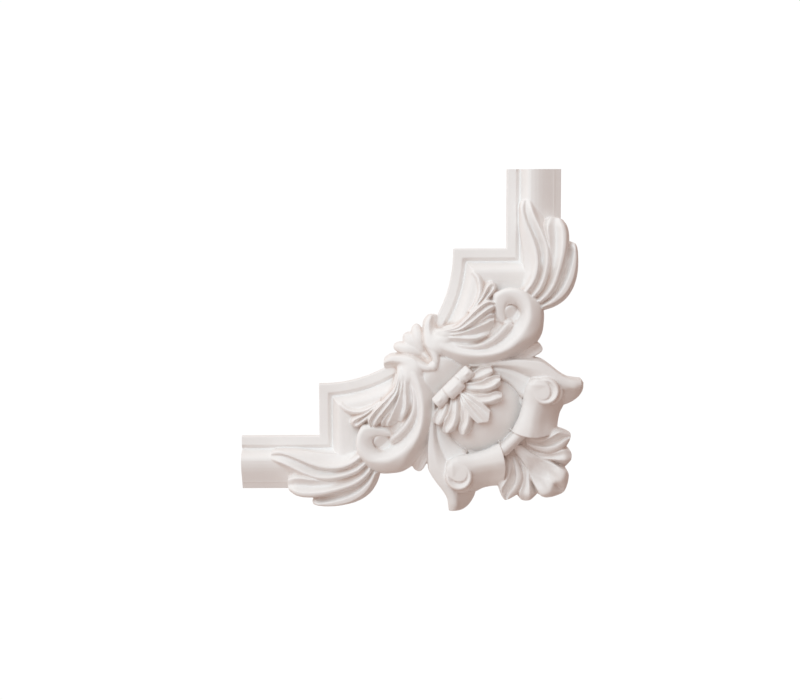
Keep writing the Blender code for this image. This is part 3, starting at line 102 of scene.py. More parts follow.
# Cross sections of a finger of relief, from one edge to the other: share of the half width,
# share of the edge's fall, share of the hollow's depth.
SPOON = [(-1, -1, 0), (-0.93, -0.45, 0), (-0.8, -0.1, 0), (-0.64, 0, 0), (-0.44, 0, -0.22), (-0.24, 0, -0.75), (0, 0, -1),
         (0.24, 0, -0.75), (0.44, 0, -0.22), (0.64, 0, 0), (0.8, -0.1, 0), (0.93, -0.45, 0), (1, -1, 0)]
DOME = [(-1, -1, 0), (-0.9, -0.56, 0), (-0.68, -0.27, 0), (-0.36, -0.07, 0), (0, 0, 0), (0.36, -0.07, 0), (0.68, -0.27, 0), (0.9, -0.56, 0), (1, -1, 0)]
FLAT = [(-1, -1, 0), (-0.96, -0.4, 0), (-0.88, -0.08, 0), (-0.4, 0, 0), (0, 0, 0), (0.4, 0, 0), (0.88, -0.08, 0), (0.96, -0.4, 0), (1, -1, 0)]


def along_knots(values, knots, at):
    """A number, or a list of them along the spine: one for each of its points, or evenly spaced."""
    if np.ndim(values) == 0:
        return np.full(len(at), float(values))
    where = knots if len(values) == len(knots) else np.linspace(0, 1, len(values))
    return hermite(where, np.asarray(values, float), at)


class Heap:
    """Closed pieces of mesh that are cast into one body."""

    def __init__(self, fine):
        self.fine = fine  # spacing of the raw mesh, units
        self.verts, self.faces, self.count = [], [], 0

    def add(self, verts, faces, both=False):
        """Takes a closed piece, and its twin across the diagonal."""
        verts = np.asarray(verts, float)
        self.verts.append(verts)
        self.faces += [tuple(int(i) + self.count for i in f) for f in faces]
        self.count += len(verts)
        if both:
            twin = verts.copy()
            twin[:, 0], twin[:, 1] = verts[:, 1] + DIAG, verts[:, 0] - DIAG
            self.add(twin, [f[::-1] for f in faces])

    def add_bmesh(self, bm, both=False):
        bm.verts.index_update()
        self.add([v.co[:] for v in bm.verts], [[v.index for v in f.verts][::-1] for f in bm.faces], both)
        bm.free()

    def slab(self, grid, foot=-BACK, both=True):
        """A grid of (x, y, h) given walls down to the foot and a bottom."""
        grid = np.asarray(grid, float)
        na, nt = grid.shape[:2]
        edge = (
            [(0, j) for j in range(nt)]
            + [(i, nt - 1) for i in range(1, na)]
            + [(na - 1, j) for j in range(nt - 2, -1, -1)]
            + [(i, 0) for i in range(na - 2, 0, -1)]
        )
        ring = np.array([grid[a, b, :2] for a, b in edge])
        turn = np.sum(ring[:, 0] * np.roll(ring[:, 1], -1) - ring[:, 1] * np.roll(ring[:, 0], -1))
        low = grid.copy()
        low[..., 2] = foot
        verts = np.concatenate([grid.reshape(-1, 3), low.reshape(-1, 3)])
        n = na * nt
        i, j = np.meshgrid(np.arange(na - 1), np.arange(nt - 1), indexing="ij")
        a = (i * nt + j).ravel()
        top = np.stack([a, a + 1, a + nt + 1, a + nt], 1)
        faces = [tuple(f) for f in top] + [tuple(f[::-1] + n) for f in top]
        ids = [a * nt + b for a, b in edge]
        for p, q in zip(ids, ids[1:] + ids[:1]):
            faces.append((p, p + n, q + n, q))
        if turn > 0:
            faces = [f[::-1] for f in faces]
        self.add(verts, faces, both)

    def lobe(self, spine, left, right, fall, section=SPOON, cut=0, tip=0.8, root=0.0, nose=0.0, blunt=2.0, lean=0, foot=-BACK, both=True):
        """A finger of relief along a spine, root to tip: width to each side, how far its edges fall, how deep its hollow is cut.

        tip and root are the shares of the length where the rounding of the ends starts, blunt how square that rounding is,
        nose how far the crest drops at an end, and lean how much one side stands over the other.
        """
        rows = points(spine)
        length = np.hypot(*np.diff(rows[:, :2], axis=0).T).sum()
        nt = max(6, int(length / self.fine))
        at = np.linspace(0, 1, nt)
        power = 2 / blunt
        if tip < 1:
            swing = np.linspace(0, math.pi / 2, max(5, nt // 3))
            at = np.concatenate([at[at < tip], tip + (1 - tip) * np.sin(swing) ** power])
        if root > 0:
            swing = np.linspace(math.pi / 2, 0, max(5, nt // 3))
            at = np.concatenate([root - root * np.sin(swing) ** power, at[at > root]])
        at = np.unique(np.round(at, 6))
        centre, knots = run(rows, at)
        before, after = run(rows, np.clip(at - 0.01, 0, 1))[0], run(rows, np.clip(at + 0.01, 0, 1))[0]
        along = after[:, :2] - before[:, :2]
        along /= np.hypot(*along.T)[:, None]
        side = np.stack([-along[:, 1], along[:, 0]], 1)
        swell = np.ones(len(at))
        if tip < 1:
            swell = np.clip(1 - (np.clip(at - tip, 0, None) / (1 - tip)) ** blunt, 0, 1) ** (1 / blunt)
        if root > 0:
            swell *= np.clip(1 - (np.clip(root - at, 0, None) / root) ** blunt, 0, 1) ** (1 / blunt)
        swell = np.maximum(swell, 0.02)
        stack = section if isinstance(section[0], list) else [section]
        stack = np.array(stack, float)  # sections along the spine, all with as many points
        where = np.linspace(0, 1, len(stack))
        shape = np.array([[np.interp(at, where, stack[:, k, c]) for c in (0, 1, 2)] for k in range(stack.shape[1])])
        wl, wr = along_knots(left, knots, at), along_knots(right, knots, at)
        fall, cut, lean = (along_knots(v, knots, at) for v in (fall, cut, lean))
        widest = float(max(np.max(wl), np.max(wr)))
        na = max(11, int(2.2 * widest / self.fine))
        across = np.linspace(-1, 1, na)
        grid = np.empty((na, len(at), 3))
        for j in range(len(at)):
            offs = shape[:, 0, j]
            h = hermite(offs, shape[:, 1, j] * fall[j] + shape[:, 2, j] * cut[j] * swell[j], across)
            w = np.where(across < 0, wl[j], wr[j]) * swell[j]
            grid[:, j, :2] = centre[j, :2] + side[j] * (across * w)[:, None]
            grid[:, j, 2] = centre[j, 2] + h + lean[j] * across * swell[j] - nose * (1 - swell[j])
        self.slab(grid, foot, both)

    def loft(self, lines, fold=False, foot=-BACK, both=True):
        """A skin across ridges, hollows and edges that run side by side from root to tip.

        fold takes the lines from one edge to the diagonal, and adds their twins beyond it.
        """
        rows = [points(line) for line in lines]
        longest = max(np.hypot(*np.diff(r[:, :2], axis=0).T).sum() for r in rows)
        at = np.linspace(0, 1, max(6, int(longest / self.fine)))
        runs = np.array([run(r, at)[0] for r in rows])
        if fold:
            runs[-1, :, :2] = np.stack([(runs[-1, :, 0] + runs[-1, :, 1] + DIAG) / 2, (runs[-1, :, 0] + runs[-1, :, 1] - DIAG) / 2], 1)
            twins = runs[-2::-1].copy()
            twins[..., 0], twins[..., 1] = runs[-2::-1, :, 1] + DIAG, runs[-2::-1, :, 0] - DIAG
            runs, both = np.concatenate([runs, twins]), False
        gaps = np.hypot(*np.moveaxis(np.diff(runs[..., :2], axis=0), 2, 0)).mean(axis=1)
        knots = np.concatenate([[0], np.cumsum(np.maximum(gaps, 0.2))])
        across = np.unique(np.concatenate([knots, np.linspace(0, knots[-1], max(11, int(1.4 * knots[-1] / self.fine)))]))
        grid = np.empty((len(across), len(at), 3))
        for c in range(3):
            grid[..., c] = hermite(knots, runs[..., c], across, held=c == 2)
        self.slab(grid, foot, both)

    def disc(self, centre, radii, profile, turn=0.0, ring=None, tilt=(0, 0), foot=-BACK, both=True):
        """A round or oval button: profile is (share of the radius, height) from the middle out.

        ring is (share, depth, angle): a furrow that is deepest at one angle and gone at the other.
        tilt is how much the button rises along x and along y, as a slope.
        """
        x, y = sighted(*centre)
        h, (rx, ry) = centre[2], radii
        n = max(24, int(2 * math.pi * max(rx, ry) / self.fine))
        m = max(8, int(1.5 * max(rx, ry) / self.fine))
        share = np.linspace(0, 1, m)
        prof = np.asarray(profile, float)
        height = hermite(prof[:, 0], prof[:, 1], share)
        ang = np.linspace(0, 2 * math.pi, n, endpoint=False)
        c, s = math.cos(math.radians(turn)), math.sin(math.radians(turn))
        verts = [(x, y, h + height[0])]
        for r, dh in zip(share[1:], height[1:]):
            for a in ang:
                px, py = r * rx * math.cos(a), r * ry * math.sin(a)
                qx, qy = px * c - py * s, px * s + py * c
                deep = 0.0
                if ring:
                    facing = math.atan2(qy, qx) - math.radians(ring[2])
                    deep = ring[1] * (0.5 + 0.5 * math.cos(facing)) * math.exp(-(((r - ring[0]) / 0.09) ** 2))
                verts.append((x + qx, y + qy, h + dh - deep + tilt[0] * qx + tilt[1] * qy))
        last = 1 + (m - 2) * n
        bottom = len(verts)
        verts += [(v[0], v[1], foot) for v in verts[last : last + n]]
        faces = [(0, 1 + (k + 1) % n, 1 + k) for k in range(n)]
        for k0 in range(m - 2):
            a, b = 1 + k0 * n, 1 + (k0 + 1) * n
            faces += [(a + k, a + (k + 1) % n, b + (k + 1) % n, b + k) for k in range(n)]
        faces += [(last + k, last + (k + 1) % n, bottom + (k + 1) % n, bottom + k) for k in range(n)]
        faces.append(tuple(range(bottom + n - 1, bottom - 1, -1)))
        self.add(verts, faces, both)

    def ball(self, centre, radii, turn=0.0, both=False):
        """An egg sunk into the body, from a UV sphere."""
        x, y = sighted(*centre)
        bm = bmesh.new()
        place = Matrix.Translation((x, y, centre[2])) @ Matrix.Rotation(math.radians(turn), 4, "Z") @ Matrix.Diagonal((*radii, 1))
        bmesh.ops.create_uvsphere(bm, u_segments=96, v_segments=48, radius=1, matrix=place)
        self.add_bmesh(bm, both)

    def bar(self, start, end, radius, both=False):
        """A round bar between two sighted points, from a cylinder with eased ends."""
        a, b = Vector((*sighted(*start), start[2])), Vector((*sighted(*end), end[2]))
        bm = bmesh.new()
        place = Matrix.Translation((a + b) / 2) @ (b - a).to_track_quat("Z", "Y").to_matrix().to_4x4()
        bmesh.ops.create_cone(bm, cap_ends=True, segments=48, radius1=radius, radius2=radius, depth=(b - a).length, matrix=place)
        rims = [e for e in bm.edges if len(e.link_faces) == 2 and any(len(f.verts) > 4 for f in e.link_faces)]
        bmesh.ops.bevel(bm, geom=rims, offset=radius * 0.3, segments=4, profile=0.5, affect="EDGES")
        self.add_bmesh(bm, both)

    def plate(self, centre, radius, top, both=False):
        """A round ground plate, from a cylinder that ends behind the wall plane."""
        x, y = sighted(*centre)
        bm = bmesh.new()
        place = Matrix.Translation((x, y, (top - BACK) / 2))
        bmesh.ops.create_cone(bm, cap_ends=True, segments=72, radius1=radius, radius2=radius, depth=top + BACK, matrix=place)
        self.add_bmesh(bm, both)


# ---- the moulding: its section, from the inner edge outwards (offset, height) ----
PROFILE = [
    (0.0, 0.0), (0.0, 6.6), (0.5, 7.2), (8.6, 7.5), (9.0, 7.2), (12.6, 3.3), (13.2, 3.7), (14.4, 7.6), (16.0, 11.8), (18.0, 15.4),
    (20.0, 17.4), (22.5, 18.1), (26.0, 17.8), (30.0, 16.8), (34.0, 15.1), (37.0, 13.5), (40.0, 11.8), (43.0, 10.1), (45.4, 8.8), (46.2, 8.6),
    (46.9, 7.9), (50.0, 6.2), (53.0, 4.7), (53.0, 0.0),
]
STUB_X, STUB_TOP, STEP_Y = 506.0, 170.5, 248.0  # inner edge of the upright stub, its cut end, the step
SWEEP = (323.5, 251.5, 130.0)  # centre and inner radius of the swept rail
STEP_X = SWEEP[0] + SWEEP[2]


def moulding(heap):
    # upright stub, mitred at the step, and the level run up to the mitre with the sweep
    section = [(o, h if 0 < k < len(PROFILE) - 1 else -BACK) for k, (o, h) in enumerate(PROFILE)]
    step = max(heap.fine, 1.0) * 2
    runs, sweep = [], []
    for o, h in section:
        ups = np.linspace(STUB_TOP - 3, STEP_Y + o, max(2, int(80 / step)))
        acr = np.linspace(STUB_X + o, STEP_X + o - 0.5, max(2, int(54 / step)))[1:]
        runs.append([(STUB_X + o, y, h) for y in ups] + [(x, STEP_Y + o, h) for x in acr])
        r = SWEEP[2] + o
        lo, hi = -8.0, 60.0
        for _ in range(40):
            mid = (lo + hi) / 2
            far = math.hypot(SWEEP[2] + mid, STEP_Y - SWEEP[1] + mid)
            lo, hi = (mid, hi) if far < r else (lo, mid)
        start = math.atan2(STEP_Y - SWEEP[1] + lo, SWEEP[2] + lo)
        turns = np.linspace(start, math.radians(45.2), max(12, int(100 / step)))
        sweep.append([(SWEEP[0] + r * math.cos(a), SWEEP[1] + r * math.sin(a), h) for a in turns])
    heap.slab(runs, -BACK - 0.01)
    heap.slab(sweep, -BACK - 0.01)


def fan_leaf(heap):
    # three gouged lobes that lean out over the step, from the inner one to the outer one
    heap.loft([
        [(519.5, 291, 17), (522.5, 283, 17), (523.5, 273, 17), (523.5, 262, 17.5), (522.5, 250, 17.8), (521, 239, 17.8), (519.6, 227, 17.6), (519.2, 216, 17.4), (519.2, 207, 17.2), (520.6, 201.6, 17)],
        [(523.3, 290.5, 24.5), (526.8, 283.5, 23.4), (529.6, 275, 22.8), (531, 265, 22.8), (530.2, 254, 22.8), (527.6, 242, 23.2), (524, 230, 23), (521, 217.5, 22), (520.4, 207, 20.5), (522.2, 201, 17.5)],
        [(524.3, 290.8, 28), (529.2, 284, 28.8), (532.9, 275.3, 28.8), (534.8, 265, 28.4), (534, 254, 27.4), (531, 242, 25.6), (526.4, 230, 24), (522.4, 217.5, 22.8), (521.4, 207.3, 21), (523, 201, 17.7)],
        [(526, 291, 28.5), (531, 284.5, 29.5), (535.2, 275.5, 29.5), (537.2, 265, 29), (536.5, 254, 28), (533.3, 242, 26.3), (528.5, 230, 24.7), (523.9, 217.5, 23.2), (522.4, 207.5, 21), (523.6, 201, 17.8)],
        [(529.5, 294, 22), (534.5, 287, 22.4), (538.8, 278, 22.4), (541, 267, 21.6), (540.8, 256, 20.4), (537.8, 243, 19.5), (532.7, 231, 19.8), (527.2, 219, 19.8), (524.9, 209, 18.8), (525, 204, 17.8), (525.5, 199.8, 16.5)],
        [(532.5, 295.5, 28), (538.3, 288.5, 29.5), (542.3, 279.5, 30), (545, 269.5, 30.5), (546.3, 259, 30.5), (545.8, 248, 29.5), (542.3, 236, 28), (538, 226, 26.5), (533.3, 216, 24.8), (530.3, 207.5, 22.5), (528.5, 200.6, 18)],
        [(534, 296.5, 26), (540.2, 289.5, 28), (544.5, 280.5, 28.8), (547.3, 270.5, 29.3), (548.6, 259.5, 29.3), (548, 248, 28), (545, 236.5, 24.5), (541.4, 226, 21.4), (537, 216, 19.4), (533.6, 207.7, 18.3), (530.8, 201, 16.8)],
        [(536, 297.5, 15), (542.5, 291, 15), (547.3, 282, 15.5), (550.2, 271.5, 16), (551.5, 260, 16), (550.5, 248, 16), (547.6, 236, 15.5), (545, 225.3, 14.5), (541.6, 216, 15), (537.6, 207.5, 15.6), (533, 201.3, 15.6)],
    ])
    heap.loft([
        [(533, 297, 20), (540, 290, 20.8), (545, 281, 21.3), (547.8, 271, 21.6), (548.8, 260, 22), (548, 250, 21.5), (545.8, 240, 22.5), (543.8, 231, 21.5), (543.2, 224.5, 19.5), (544.8, 220, 17.5)],
        [(534.5, 298, 20), (541.5, 291, 21.6), (546.8, 282, 22.2), (549.5, 272, 22.6), (550.3, 261, 24), (549.8, 250, 27.5), (548.3, 240, 30), (546.8, 231, 30), (546.8, 225, 28.8), (548.7, 218, 24)],
        [(536.5, 299.5, 22.5), (543.2, 293, 23.4), (548.8, 284, 24), (552.4, 273.5, 24.4), (554.6, 262, 24.6), (555.2, 251, 24.6), (555, 240, 25), (554.4, 231, 25.4), (554, 225.5, 25.6), (554.6, 217.6, 22.6)],
        [(538.5, 300.8, 28.5), (545.5, 294, 30.5), (551.6, 285.2, 31.8), (555.8, 274, 33), (558.8, 262.5, 34), (561, 251, 34.3), (561.8, 240.5, 33.8), (561.3, 231, 32.8), (559.8, 225.3, 31.2), (558, 218.4, 25)],
        [(539.5, 301.5, 28), (547, 295.2, 30), (553.5, 286.3, 31.2), (558, 275, 32.3), (561.5, 263, 33.3), (564.2, 251.5, 33.3), (565.4, 240.5, 32.6), (564.8, 231, 31.4), (563, 225, 29.5), (560, 219.2, 24)],
        [(541, 303, 20), (549.5, 297, 20.6), (556.5, 288, 21), (561.5, 276.5, 21), (564.8, 264.5, 20.4), (567, 252.5, 18.5), (568.2, 241, 16), (567.6, 232, 17), (565.4, 225, 18), (561.8, 220.2, 18)],
    ])
    heap.loft([
        [(538, 301.5, 20), (547, 294.5, 20.6), (553, 285, 21), (558, 274, 21), (562, 262, 20.4), (565, 253, 19), (567.3, 247, 19.5), (568.5, 243.3, 20)],
        [(541, 304, 21.5), (550, 298.2, 22.2), (558.2, 289.5, 22.6), (564, 278.2, 22.6), (567.3, 267, 22), (569.5, 257, 21.2), (570.8, 250.5, 23), (571.6, 246, 26.4), (571.6, 242.2, 23)],
        [(542, 305.5, 28.5), (550.8, 300.6, 29.5), (559.6, 292, 30), (565.8, 281.5, 30), (569.8, 270.5, 29.5), (572, 260.5, 29), (573.2, 253, 28.3), (573.6, 247.5, 28), (573, 242.8, 24)],
        [(542.3, 307, 27.5), (552, 302.6, 29), (562.3, 295, 29.6), (569.3, 284.5, 29.6), (573.5, 272.5, 29), (575.3, 261.5, 28.2), (575.6, 253.3, 27.2), (575, 246.8, 26), (574.2, 243.4, 23)],
        [(542, 310, 8), (554, 306, 7), (565, 298.5, 6), (572.2, 288, 6), (576.2, 275.5, 7), (577.3, 262, 8), (577, 253.5, 10), (576, 247, 14), (574.7, 243.8, 16)],
    ])
    # the ground where the lobes spring from the volute
    heap.plate((536, 296, 12), 9, 12, both=True)


def scroll(heap):
    # the ring of the volute, from its outer foot over the crest to the bottom of its channel, tail to eye
    heap.loft([
        [(428, 346, 12), (436.5, 353.5, 15), (450, 360.8, 14), (462, 365.4, 12), (474, 368.3, 10), (486, 368, 8), (497, 365.3, 7), (507, 361.8, 6), (517, 357.3, 5), (528, 350, 4), (537, 341.3, 4),
         (541.7, 333, 14), (543.6, 322, 17), (543.6, 311, 17), (541, 301.8, 16), (535, 296.6, 11), (526, 291.6, 13), (518, 289, 14), (510, 288.4, 14), (501.5, 290.4, 13), (494.5, 294.6, 14),
         (492.6, 300, 19), (494, 308, 22), (495.5, 316, 22), (498.6, 322.4, 20), (503.3, 325.2, 18)],
        [(430, 341.5, 17), (437, 347.5, 23), (447, 352.5, 24.5), (457, 356, 25.5), (468, 358.7, 26.5), (480, 359.8, 27), (492, 359, 27.5), (503, 356.3, 28), (513.8, 351, 28.3), (524.8, 344.3, 26.3),
         (534.6, 335.6, 27.4), (539.4, 322.5, 27.4), (539.9, 311, 26.8), (536.8, 301.2, 26.4), (529.3, 293.6, 27), (522.5, 289.2, 27.3), (515, 287.2, 27.5), (507.5, 287.2, 27.3), (500.5, 289.3, 26.6), (493.6, 293.6, 25),
         (493.2, 301, 25.6), (495.5, 308.7, 25.6), (497, 316, 24.6), (499.9, 321.4, 22), (503.8, 324, 19.5)],
        [(432, 338, 20), (438, 343, 25.8), (446.5, 347.8, 28), (456, 351, 29.6), (468, 353.6, 31.6), (480, 354.6, 33.2), (491, 353.6, 34.7), (502, 350.6, 35.7), (512, 345.3, 36.2), (519.3, 337.8, 36.2), (525, 329.8, 35.7),
         (528.8, 321, 35.2), (529.8, 311.5, 34.2), (529, 303.5, 33.4), (524.5, 297.3, 32.7), (518.3, 293, 32.2), (511, 291.5, 31.7), (504, 292.3, 31.2), (498.4, 295.9, 30.6), (497.2, 302, 29.8),
         (497.9, 309, 28.5), (499.2, 315.5, 27), (501.8, 319.7, 25.5), (504.5, 322.2, 23)],
        [(435, 333, 19), (441, 338, 24), (449, 342.3, 26), (458, 346.3, 27), (469, 349.3, 28.3), (480, 350.3, 29.3), (489.3, 349.3, 30.2), (498.3, 345.8, 31), (507, 340.6, 31.2), (514.3, 334.2, 31), (519.3, 327, 30.6),
         (522.3, 319.5, 30), (523.3, 312, 29), (521.7, 306.3, 28.6), (518.4, 302.3, 28.6), (514.2, 299.4, 28.8), (509.5, 298.6, 29), (506.3, 300.2, 29), (504.5, 303.5, 28.5), (504, 308.5, 27),
         (504.2, 314, 25.5), (504.7, 319, 24), (505.7, 322, 22)],
        [(437, 329, 15), (444, 334, 20), (452, 338, 22), (461, 342.5, 23), (470, 345.5, 24), (480, 347, 24), (488.6, 345, 24), (496.6, 340.6, 24), (503.6, 335, 24), (509.5, 329.3, 22.5), (513.8, 323.5, 21),
         (517.2, 318.5, 17.6), (519.4, 312.5, 16.8), (518.8, 308.5, 20.5), (516.6, 305.3, 22.5), (513.3, 303.6, 24.5), (510.3, 303.2, 25.6), (507.4, 304.2, 25.6), (505.6, 307, 24.6), (504.9, 310.5, 22),
         (505.7, 314, 12), (506.5, 319, 13), (507.5, 322, 14)],
    ])
    # the inner ridge beside the channel
    heap.loft([
        [(446, 345, 18), (458, 348.8, 21), (469, 350.3, 22), (480, 350, 23), (489.5, 348, 23.5), (498, 343.3, 23.5), (505, 337.3, 23), (510.8, 331, 22), (514.8, 325, 19)],
        [(446, 341.5, 21), (457, 345.2, 26.3), (468, 346.8, 28.5), (479.5, 346.2, 30.5), (489, 342.8, 32), (497, 337.8, 32.8), (503, 332.2, 32.6), (507.8, 327, 31), (511.3, 322.3, 27)],
        [(446, 339, 21.5), (456.5, 343, 26.8), (467.5, 344.6, 29), (479, 343.8, 31.2), (488, 340, 32.7), (495.5, 334.8, 33.4), (501.2, 329.2, 33.2), (505.6, 324.4, 31.6), (508.6, 321, 27.5)],
        [(446, 336.5, 18), (456, 340.3, 19), (467, 342, 18), (478, 341.6, 18), (486, 337.8, 18), (493.2, 332.8, 18), (498.6, 327.4, 18), (502.6, 323, 18), (506, 320.3, 17)],
    ])
    heap.disc((511, 312.4, 20.6), (8, 8.6), [(0, 0.8), (0.6, 0.5), (0.82, -0.2), (0.93, -1.3), (1, -3.4)], tilt=(-0.62, -0.56))
    heap.ball((506.8, 320.6, 12), (7, 4.6, 13.5))
    heap.ball((513.2, 320.2, 10), (5, 4, 11))
    heap.plate((512, 311, 16), 13, 18.6, both=True)
    heap.plate((495, 315, 16), 5, 22.5, both=True)
    heap.plate((491.5, 297, 16), 5, 21, both=True)
    heap.plate((490, 331, 16), 5, 21.5, both=True)


def acanthus(heap):
    # the ground under the leaf, and its root at the strap
    heap.lobe([(444, 333, 18), (462, 332, 19.5), (480, 323, 19), (497, 319, 18)], [7, 12, 15, 12], [8, 13, 18, 20], 3, FLAT, tip=0.9)
    heap.lobe([(484, 306, 19), (490, 298, 20), (496, 290, 17)], [6, 6, 4], [5, 6, 5], 4, DOME, tip=0.8)
    heap.plate((499, 326, 21), 8, 21, both=True)
    heap.lobe([(436, 334, 22), (444, 334, 25.5), (452, 333, 25.5), (460, 332, 23)], [6, 6, 7, 7], [6, 6, 7, 7], 5, DOME, tip=0.7)
    # two sprigs that lie on the rail
    heap.loft([
        [(468, 311, 22), (473.3, 304, 22), (475.3, 299, 21.5), (477, 293, 20.5), (477.3, 286, 18.8), (475.2, 279, 17.5), (470.8, 272, 16.8)],
        [(470, 311, 26), (475, 303.5, 27), (477.8, 298.5, 27), (479.7, 292, 26), (479.9, 285, 24.5), (478, 277.5, 22.5), (472.8, 270.6, 18.5)],
        [(472, 311, 25), (476.5, 303.3, 26), (479.6, 298, 25.5), (481.4, 291.5, 24.5), (481.7, 284.5, 23), (480, 277, 21), (474.8, 269.6, 18)],
        [(474, 311, 20), (478, 303.5, 20), (481.8, 298.5, 19), (483.8, 291.5, 17.5), (484.3, 284.5, 16.5), (482.7, 277, 16), (477.5, 269.8, 16)],
    ])
    heap.loft([
        [(471, 311, 20), (476.5, 303, 21), (480, 298, 20), (482.3, 292.5, 19), (483.8, 287, 18), (486, 282.4, 17), (490, 280.2, 16.5)],
        [(472, 311, 26), (477.8, 303, 28), (481.8, 297.8, 28.5), (484.8, 292, 29), (487.5, 286.6, 29), (490.2, 283.2, 27.5), (493.3, 281.4, 21.5)],
        [(473.3, 311, 24), (479.3, 303, 24.5), (483.6, 298, 23), (487.4, 292.5, 22.5), (490.8, 288.4, 23), (493, 286.2, 25), (495.6, 284.3, 22)],
        [(474.6, 311, 26), (480.8, 303.3, 28), (485.5, 298.6, 29), (489.6, 293.6, 29.5), (492.6, 289.8, 29), (494.2, 287.6, 27), (495.8, 286, 22)],
        [(476, 311, 24), (482.5, 304.5, 24), (488, 300, 23), (492, 295, 22), (494.4, 291.4, 20.5), (495.6, 289, 19), (496.2, 287, 17.5)],
    ])
    # the three gouged fingers of the leaf, from the top one down
    heap.loft([
        [(438, 329.5, 20), (447, 327.8, 22.5), (457, 324.3, 23), (466, 316, 24), (474, 308, 25), (481, 302, 25.5), (487, 298.8, 26), (493, 299.5, 25), (496.8, 302, 23)],
        [(438, 330.3, 23), (448, 328.7, 26.3), (458, 325.8, 28.5), (467, 318.3, 31), (475, 310.3, 33), (482, 304.2, 34), (488, 301, 34), (493, 301.6, 32), (496, 303, 28)],
        [(438, 331, 23), (449, 329.7, 25.8), (459.5, 327.2, 26.8), (469, 319.8, 27.8), (477.5, 312.2, 28.2), (484, 306.6, 28), (489, 303.6, 28), (493, 303.1, 27.5), (495.5, 303.8, 27)],
        [(438, 331.8, 23), (450, 330.4, 26.3), (461, 327.9, 29), (471, 321.2, 31.5), (479.5, 314.4, 33.5), (486, 309.4, 34), (490.5, 306.6, 33.5), (493.5, 305.6, 32), (495, 305.5, 28)],
        [(438, 332.3, 22), (450.5, 331.2, 24.5), (462, 329.2, 25), (472, 324, 26.5), (481, 318, 26.5), (487.8, 313.2, 26), (491.7, 311.3, 25), (494, 310.6, 19), (494.8, 309, 19)],
    ])
    heap.loft([
        [(438, 332.3, 22), (448, 331.6, 24), (458, 329.6, 24), (470, 325.3, 25.5), (478, 320.5, 25.5), (484, 316.3, 25.5), (488.5, 313, 26), (492, 311.6, 24), (494.2, 312, 23)],
        [(438, 332.8, 22), (449, 332, 24.6), (458, 330.5, 25), (470, 326.2, 23.5), (478.5, 321.5, 25.5), (484.5, 317.2, 28.5), (489, 314.2, 30.5), (492.3, 313.2, 30.5), (494.5, 313.4, 27)],
        [(438, 333.2, 22), (449.5, 332.5, 24.6), (458.5, 331.3, 25), (470.5, 327.3, 25), (479.5, 323.2, 24.6), (485.5, 319.6, 24.6), (489.5, 317.2, 25), (492.5, 316.4, 24), (494.7, 316, 24)],
        [(438, 333.7, 22), (450, 333.3, 26), (458.5, 332.2, 28.3), (468.5, 329, 30.5), (477.5, 325.4, 32.3), (485, 322, 33.3), (490.5, 319.7, 33), (494.5, 319, 29)],
        [(438, 334.4, 21), (450.5, 334.4, 23.8), (459, 335, 24), (469.5, 335.4, 25), (479, 333.8, 24.5), (486.7, 330.6, 24), (491.8, 327, 23), (495, 322.5, 20)],
    ])
    heap.loft([
        [(438, 335, 21), (449, 334.8, 24), (458, 334.8, 24.5), (468, 335, 27), (477, 334, 26.5), (484, 331.2, 25.5), (490, 329.8, 23.5)],
        [(438, 336.2, 22), (449, 336.3, 26.2), (457.5, 336.4, 28), (467.5, 337.4, 29), (476.5, 337, 29), (483.5, 334.8, 27.5), (490, 332.5, 23)],
        [(438, 337.4, 21.5), (449.5, 338.2, 25), (457.5, 338.8, 25.5), (467.3, 340.2, 24.5), (476.7, 339.7, 23.5), (484.5, 336.6, 22), (491, 333, 19)],
        [(438, 338.6, 19), (450, 340.4, 22), (457, 341.6, 21.5), (467, 343.4, 20.5), (477, 342.6, 20), (485.5, 338.8, 20), (492, 334, 20)],
    ])


